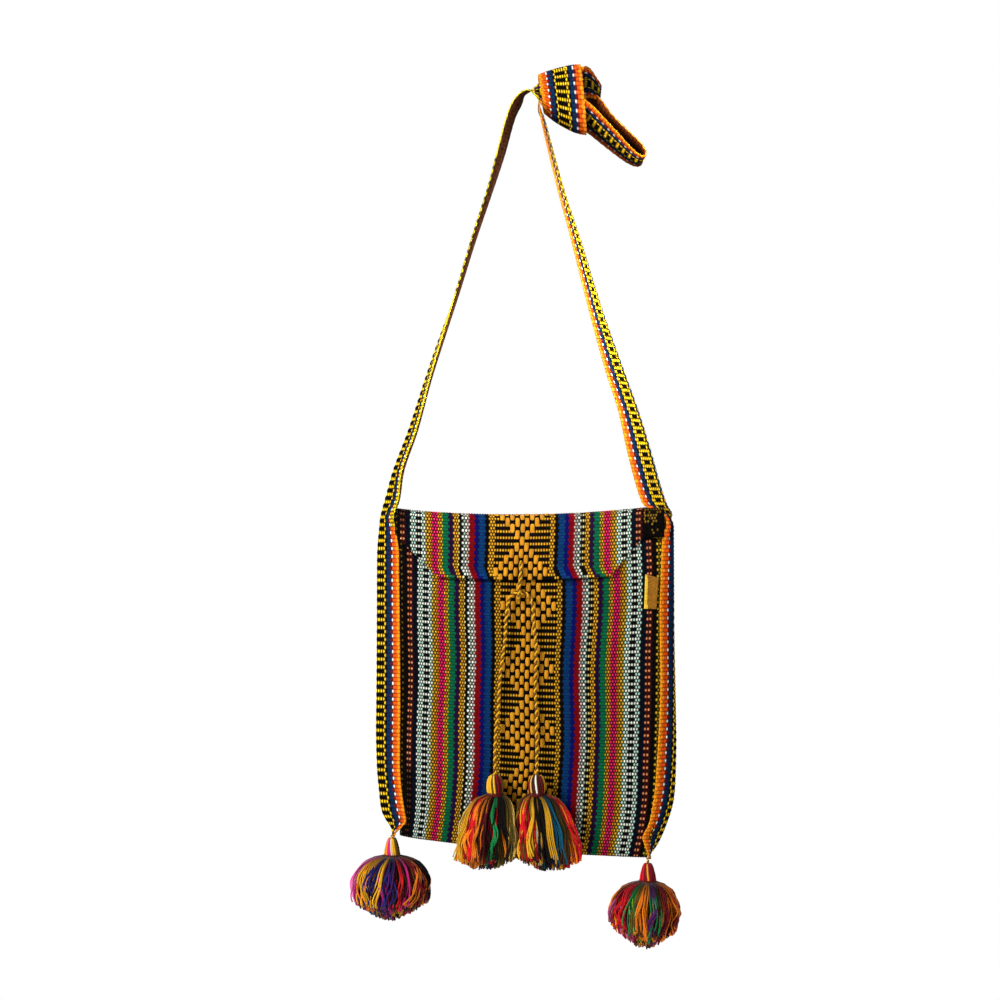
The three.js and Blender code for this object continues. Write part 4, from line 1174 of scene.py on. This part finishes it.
# Skirt from left to right across the front. Head from its right side round the back to the left and the
# front. Slant: how much longer the right side of the skirt is than the middle
TASSELS = (
    dict(name="tie_tassel_left", top=(-27.9, -20.4, -557.3), head=(15, 7.0), skirt=(59, 26.4),
         lean=(-7.4, 3.0), flat=0.5, shape="bell", hanger=0.0, slant=-0.02, locks=130, seed=3,
         skirt_colours="gold orange red orange red orange magenta red orange crimson brown gold brown green "
         "black purple black black navy brown olive straw olive",
         head_colours="olive brown olive brown olive brown gold brown gold brown gold gold "
         "pink orange gold gold olive gold brown crimson brown crimson olive olive"),
    dict(name="tie_tassel_right", top=(5.9, -20.4, -557.3), head=(15, 7.0), skirt=(60, 27.8),
         lean=(9.8, 3.0), flat=0.5, shape="bell", hanger=0.0, slant=0.03, locks=140, seed=4,
         skirt_colours="crimson olive crimson red red purple brown gold black white black black gold black "
         "teal navy teal brown gold crimson red red orange",
         head_colours="gold brown olive brown olive brown brown brown brown olive brown brown "
         "crimson straw straw brown brown white brown brown crimson brown gold gold"),
    dict(name="corner_tassel_left", top=(-112.3, 0, -612.0), head=(14.2, 6.8), skirt=(51.5, 33.5),
         lean=(-1.6, 0.0), flat=0.9, shape="dome", hanger=1.6, slant=0.0, locks=160, seed=5,
         skirt_colours="pink magenta teal gold orange brown orange gold navy purple magenta crimson navy "
         "purple brown gold red red magenta brown olive crimson brown orange black",
         head_colours="brown olive brown olive brown olive gold gold olive gold gold gold "
         "gold gold orange magenta magenta white gold gold olive olive brown brown"),
    dict(name="corner_tassel_right", top=(97.4, 0, -633.0), head=(14, 7.0), skirt=(53.5, 29.2),
         lean=(-4.2, 0.0), flat=0.9, shape="dome", hanger=4.1, slant=0.07, locks=160, seed=6,
         skirt_colours="orange pink pink red gold lime green gold olive brown orange orange crimson purple "
         "olive green teal brown red crimson orange magenta crimson orange crimson",
         head_colours="crimson brown crimson brown crimson brown crimson crimson red crimson crimson red "
         "red crimson red crimson crimson gold crimson crimson crimson crimson brown brown"),
)
BINDING_RED = linear("#5A1410")
yarn_material = spun_yarn("acrylic yarn, loose two-ply", roughness=0.75, sheen=0.06, fibre_mm=1.4)


def per_lock(values):
    """The values of the locks, for each of their yarns."""
    return np.repeat(values, LOCK_YARNS, axis=0)


def tassel(form):
    """A tassel with its top at its place: skirt, head, binding and, at the corners, its hanging thread."""
    pick_yarn = np.random.default_rng(form["seed"])
    colours = np.array([linear(TASSEL_PALETTE[name]) for name in form["skirt_colours"].split()])
    head_height, head_radius = form["head"]
    skirt_height, skirt_radius = form["skirt"]
    down, out, trim = SKIRTS[form["shape"]]

    # Skirt: locks of a few crimped yarns of one colour, from the neck outwards and down
    locks, steps = form["locks"], np.linspace(0, 1, SKIRT_STEPS)
    count = locks * LOCK_YARNS
    ring = np.sqrt(pick_yarn.uniform(0.04, 1, locks))
    turn = np.arange(locks) * LOCK_TURN + pick_yarn.normal(0, 0.2, locks)
    curly = pick_yarn.random(locks) < CURLY_LOCKS
    ring[curly] = 1.0
    place = (1 + np.cos(turn)) / 2 * (len(colours) - 1) + pick_yarn.normal(0, 0.8, locks)
    place = np.clip(np.rint(place), 0, len(colours) - 1).astype(int)
    strays = pick_yarn.random(locks) < STRAY_LOCKS
    place[strays] = pick_yarn.integers(0, len(colours), strays.sum())
    # Each lock's tone differs at random, and the inner locks are painted darker as the shade inside the skirt
    lit = np.clip(pick_yarn.normal(0.8, 0.25, (locks, 1)), 0.3, 1.3) * (0.3 + 0.7 * ring[:, None] ** 2)
    uneven = np.clip(pick_yarn.normal(1, 0.14, (count, 1)), 0.65, 1.35)
    skirt_colours = per_lock(colours[place] * lit) * uneven
    skirt_colours[:, 3] = 1
    ring = np.clip(per_lock(ring) + pick_yarn.normal(0, 0.04, count), 0.05, 1)
    turn = per_lock(turn) + pick_yarn.normal(0, 0.07, count) / np.maximum(ring, 0.3)
    long = 1 + np.clip(pick_yarn.normal(0, 0.03, count), -0.1, 0.04) - trim * ring**2
    long += form["slant"] * np.cos(turn) * ring
    share = steps * long[:, None]
    sway = per_lock(pick_yarn.normal(0, 0.16, (locks, 1))) + pick_yarn.normal(0, 0.05, (count, 1))
    angle = turn[:, None] + sway * steps**1.3
    phase = per_lock(pick_yarn.uniform(0, 6.28, (locks, 2))) + pick_yarn.normal(0, 0.5, (count, 2))
    curl = per_lock(pick_yarn.uniform(5, 13, (locks, 1, 1)))
    crimp = np.sin(curl * steps[:, None] + phase[:, None]) * np.sqrt(steps)[:, None]
    crimp *= per_lock(np.where(curly, CURLY_CRIMP, CRIMP))[:, None, None]
    radius = skirt_radius * SKIRT_INSIDE * follow(down, out, share.ravel()).reshape(share.shape)
    radius = radius * ring[:, None]
    x = radius * np.cos(angle) + form["lean"][0] * np.sqrt(share) + crimp[..., 0]
    y = radius * np.sin(angle) * form["flat"] - form["lean"][1] * share + crimp[..., 1] * form["flat"]
    skirt = np.stack([x, y, -head_height - skirt_height * share], -1)
    painted_light_along = np.interp(steps, *SKIRT_SHADE_AND_HIGHLIGHT)

    # Head: the same yarns doubled over the top, side by side down to the neck
    bend = np.linspace(0.04, 1, HEAD_STEPS)
    belly = (head_radius - HEAD_YARN_RADIUS) * follow(HEAD_DOWN, HEADS[form["shape"]], bend)
    spin = 2 * np.pi * np.arange(HEAD_YARNS)[:, None] / HEAD_YARNS + 0.3 * bend
    fall = np.broadcast_to(-head_height * (bend - bend[0]), spin.shape)
    crown = np.stack([belly * np.cos(spin), belly * np.sin(spin), fall], -1)
    names = form["head_colours"].split()
    head_place = np.arange(HEAD_YARNS) * len(names) / HEAD_YARNS
    head_place = np.rint(head_place + pick_yarn.normal(0, 0.3, HEAD_YARNS))
    head_colours = np.array([linear(TASSEL_PALETTE[names[int(k) % len(names)]]) for k in head_place])
    head_colours[:, :3] *= np.clip(pick_yarn.normal(0.9, 0.2, (HEAD_YARNS, 1)), 0.5, 1.3)

    # Binding: close turns of a thin thread at the neck
    coil = np.linspace(0, 1, BINDING_STEPS)
    neck = belly[-1] + HEAD_YARN_RADIUS * BINDING_OUT
    wound = 2 * BINDING_TURNS * np.pi * coil
    fall = -head_height * BINDING_DOWN - BINDING_TURNS * 2 * BINDING_RADIUS * (coil - BINDING_ABOVE)
    binding = np.stack([neck * np.cos(wound), neck * np.sin(wound), fall], -1)[None]
    groups = [
        yarn_tubes(form["name"], skirt * MM, YARN_RADIUS * MM, skirt_colours, (0.1, 1, 0.05), 5, painted_light_along),
        yarn_tubes("head", crown * MM, HEAD_YARN_RADIUS * MM, head_colours, (0.03, 0.02, 1)),
        yarn_tubes("binding", binding * MM, BINDING_RADIUS * MM, [BINDING_RED], (0, 0, 1)),
    ]
    if form["hanger"]:
        line = np.zeros((HANGER_STEPS, 3))
        line[:, 2] = np.linspace(form["hanger"] + HANGER_ABOVE, -HANGER_INTO, HANGER_STEPS) * MM
        groups.append(two_ply("hanger", line, HANGER_DIAMETER * MM, HANGER_TWIST * MM, (0, 1, 0)))
    choose(*groups)
    bpy.ops.object.join()
    piece = bpy.context.active_object
    piece.name = piece.data.name = form["name"] + "_yarn"
    piece.location = np.array(form["top"]) * MM
    bpy.ops.object.transform_apply(location=True, rotation=False, scale=False)
    piece.data.materials.clear()
    piece.data.materials.append(yarn_material)
    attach(piece, "root")
    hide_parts(form["name"])
    return piece


tassels = {form["name"]: tassel(form) for form in TASSELS}


# Label: a small tab of golden satin ribbon, folded double at its left edge, where the fold is painted lighter
# as a highlight, and caught by its right edge in the seam between the front and the strap. It stands a little
# off the cloth.
LABEL_WIDTH, LABEL_HEIGHT = 11.0, 28.0
LABEL_MM = 0.8
LABEL_LEAN = math.radians(2)
# How it tapers downwards, how its top edge slopes, how far it curls and waves off the cloth and its seam
# edge is set back, and the share of its width that is painted as the lit fold
LABEL_TAPER, LABEL_SLOPE = 0.16, 2.4
LABEL_CURL, LABEL_WAVE, LABEL_SET_BACK = 0.9, 0.25, 1.1
LIT_FOLD_SHARE = 0.24
low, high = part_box("label_tab")
bpy.ops.mesh.primitive_grid_add(x_subdivisions=16, y_subdivisions=32, size=1)
label = bpy.context.active_object
label.name = label.data.name = "label_tab_satin"
centre = [(a + b) / 2 for a, b in zip(low, high)]
for vertex in label.data.vertices:
    a, b = vertex.co.x, vertex.co.y
    x = a * LABEL_WIDTH * (1 - LABEL_TAPER * (0.5 - b) * (a + 0.5))
    z = b * LABEL_HEIGHT - LABEL_SLOPE * (a + 0.5) * (b + 0.5)
    lift = LABEL_CURL * (0.5 - a) ** 2 + LABEL_WAVE * math.sin(2.4 * b + 0.5)
    vertex.co = (
        centre[0] + (x * math.cos(LABEL_LEAN) + z * math.sin(LABEL_LEAN)) * MM,
        centre[1] - (lift - LABEL_SET_BACK * a) * MM,
        centre[2] + (z * math.cos(LABEL_LEAN) - x * math.sin(LABEL_LEAN)) * MM,
    )


def satin_ribbon(name, dark, light):
    """Woven satin: fine ribs across the ribbon and a soft gloss."""
    satin = surface(name, {"Roughness": 0.45, "Specular IOR Level": 0.2})
    place = node(satin, "ShaderNodeTexCoord")
    # Ribs about 0.5 mm apart, coarser than the real ones so that they show
    threads = fibre_noise(satin, place.outputs["Object"], (400.0, 400.0, 1800.0), 0.0, 1.0, 2.0)
    tone = node(satin, "ShaderNodeValToRGB", {"Fac": threads})
    for stop, share, colour in zip(tone.color_ramp.elements, (0.3, 0.65), (dark, light)):
        stop.color = linear(colour)
        stop.position = share
    link_shader(satin, tone.outputs["Color"], threads, 0.25, 0.0002)
    return satin


label.data.materials.append(satin_ribbon("polyester satin ribbon, woven", "#5C3604", "#9C6608"))
# The fold is a lighter copy of the satin, a painted highlight where it catches the light
label.data.materials.append(satin_ribbon("polyester satin ribbon, folded edge with painted highlight", "#B8901C", "#E6BE38"))
edge = low[0] + LIT_FOLD_SHARE * LABEL_WIDTH * MM
for polygon in label.data.polygons:
    polygon.material_index = int(polygon.center.x < edge)
label.data.shade_smooth()
thicken(label, LABEL_MM)
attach(label, "root")
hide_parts("label_tab")


# Floor and light: a pale matt floor well below the hanging bag, a large soft light from the upper left in
# front, weaker ones from the right and from behind, a narrow one on the right run of the strap,
# and pale surroundings that are brightest behind the bag.
FLOOR_Z = -1.9
bpy.ops.mesh.primitive_plane_add(size=8, location=(0, 0, FLOOR_Z))
floor = bpy.context.active_object
floor.name = "pale_floor"
floor.data.materials.append(surface("pale matt floor", {"Base Color": linear("#FAFAF8"), "Roughness": 0.9}))
BAG_MIDDLE = (0.0, 0.0, -0.4)
STRAP_MIDDLE = (0.08, 0.0, -0.17)
# Where each light stands, where it points, its size in metres, its power, and how wide it spreads in degrees
LIGHTS = (
    ("key", (-1.5, -1.3, 0.6), BAG_MIDDLE, 0.7, 75, 180),
    ("fill", (1.1, -1.2, 0.3), BAG_MIDDLE, 1.4, 6, 180),
    ("behind", (0.4, 1.4, 0.4), BAG_MIDDLE, 1.4, 6, 180),
    ("strap", (1.1, -1.0, 0.3), STRAP_MIDDLE, 0.12, 0.75, 15),
)
for name, place, target, size, power, spread in LIGHTS:
    aim = np.array(target) - np.array(place)
    tilt = math.acos(aim[2] / np.linalg.norm(aim)) - math.pi
    heading = math.atan2(aim[1], aim[0]) + math.pi / 2
    bpy.ops.object.light_add(type="AREA", location=place, rotation=(tilt, 0, heading))
    lamp = bpy.context.active_object
    lamp.name = f"{name}_light"
    lamp.data.size = size
    lamp.data.energy = power
    lamp.data.spread = math.radians(spread)
world = bpy.data.worlds.new("pale room")
bpy.context.scene.world = world
world.use_nodes = True
background = world.node_tree.nodes["Background"]
background.inputs["Color"].default_value = (1, 1, 1, 1)
looking = node(world, "ShaderNodeTexCoord")
axes = node(world, "ShaderNodeSeparateXYZ", {"Vector": looking.outputs["Generated"]})
brightness = {"From Min": -0.2, "From Max": 0.6, "To Min": 0.4, "To Max": 1.0, "Value": axes.outputs["Y"]}
level = node(world, "ShaderNodeMapRange", brightness, interpolation_type="SMOOTHSTEP")
world.node_tree.links.new(level.outputs["Result"], background.inputs["Strength"])
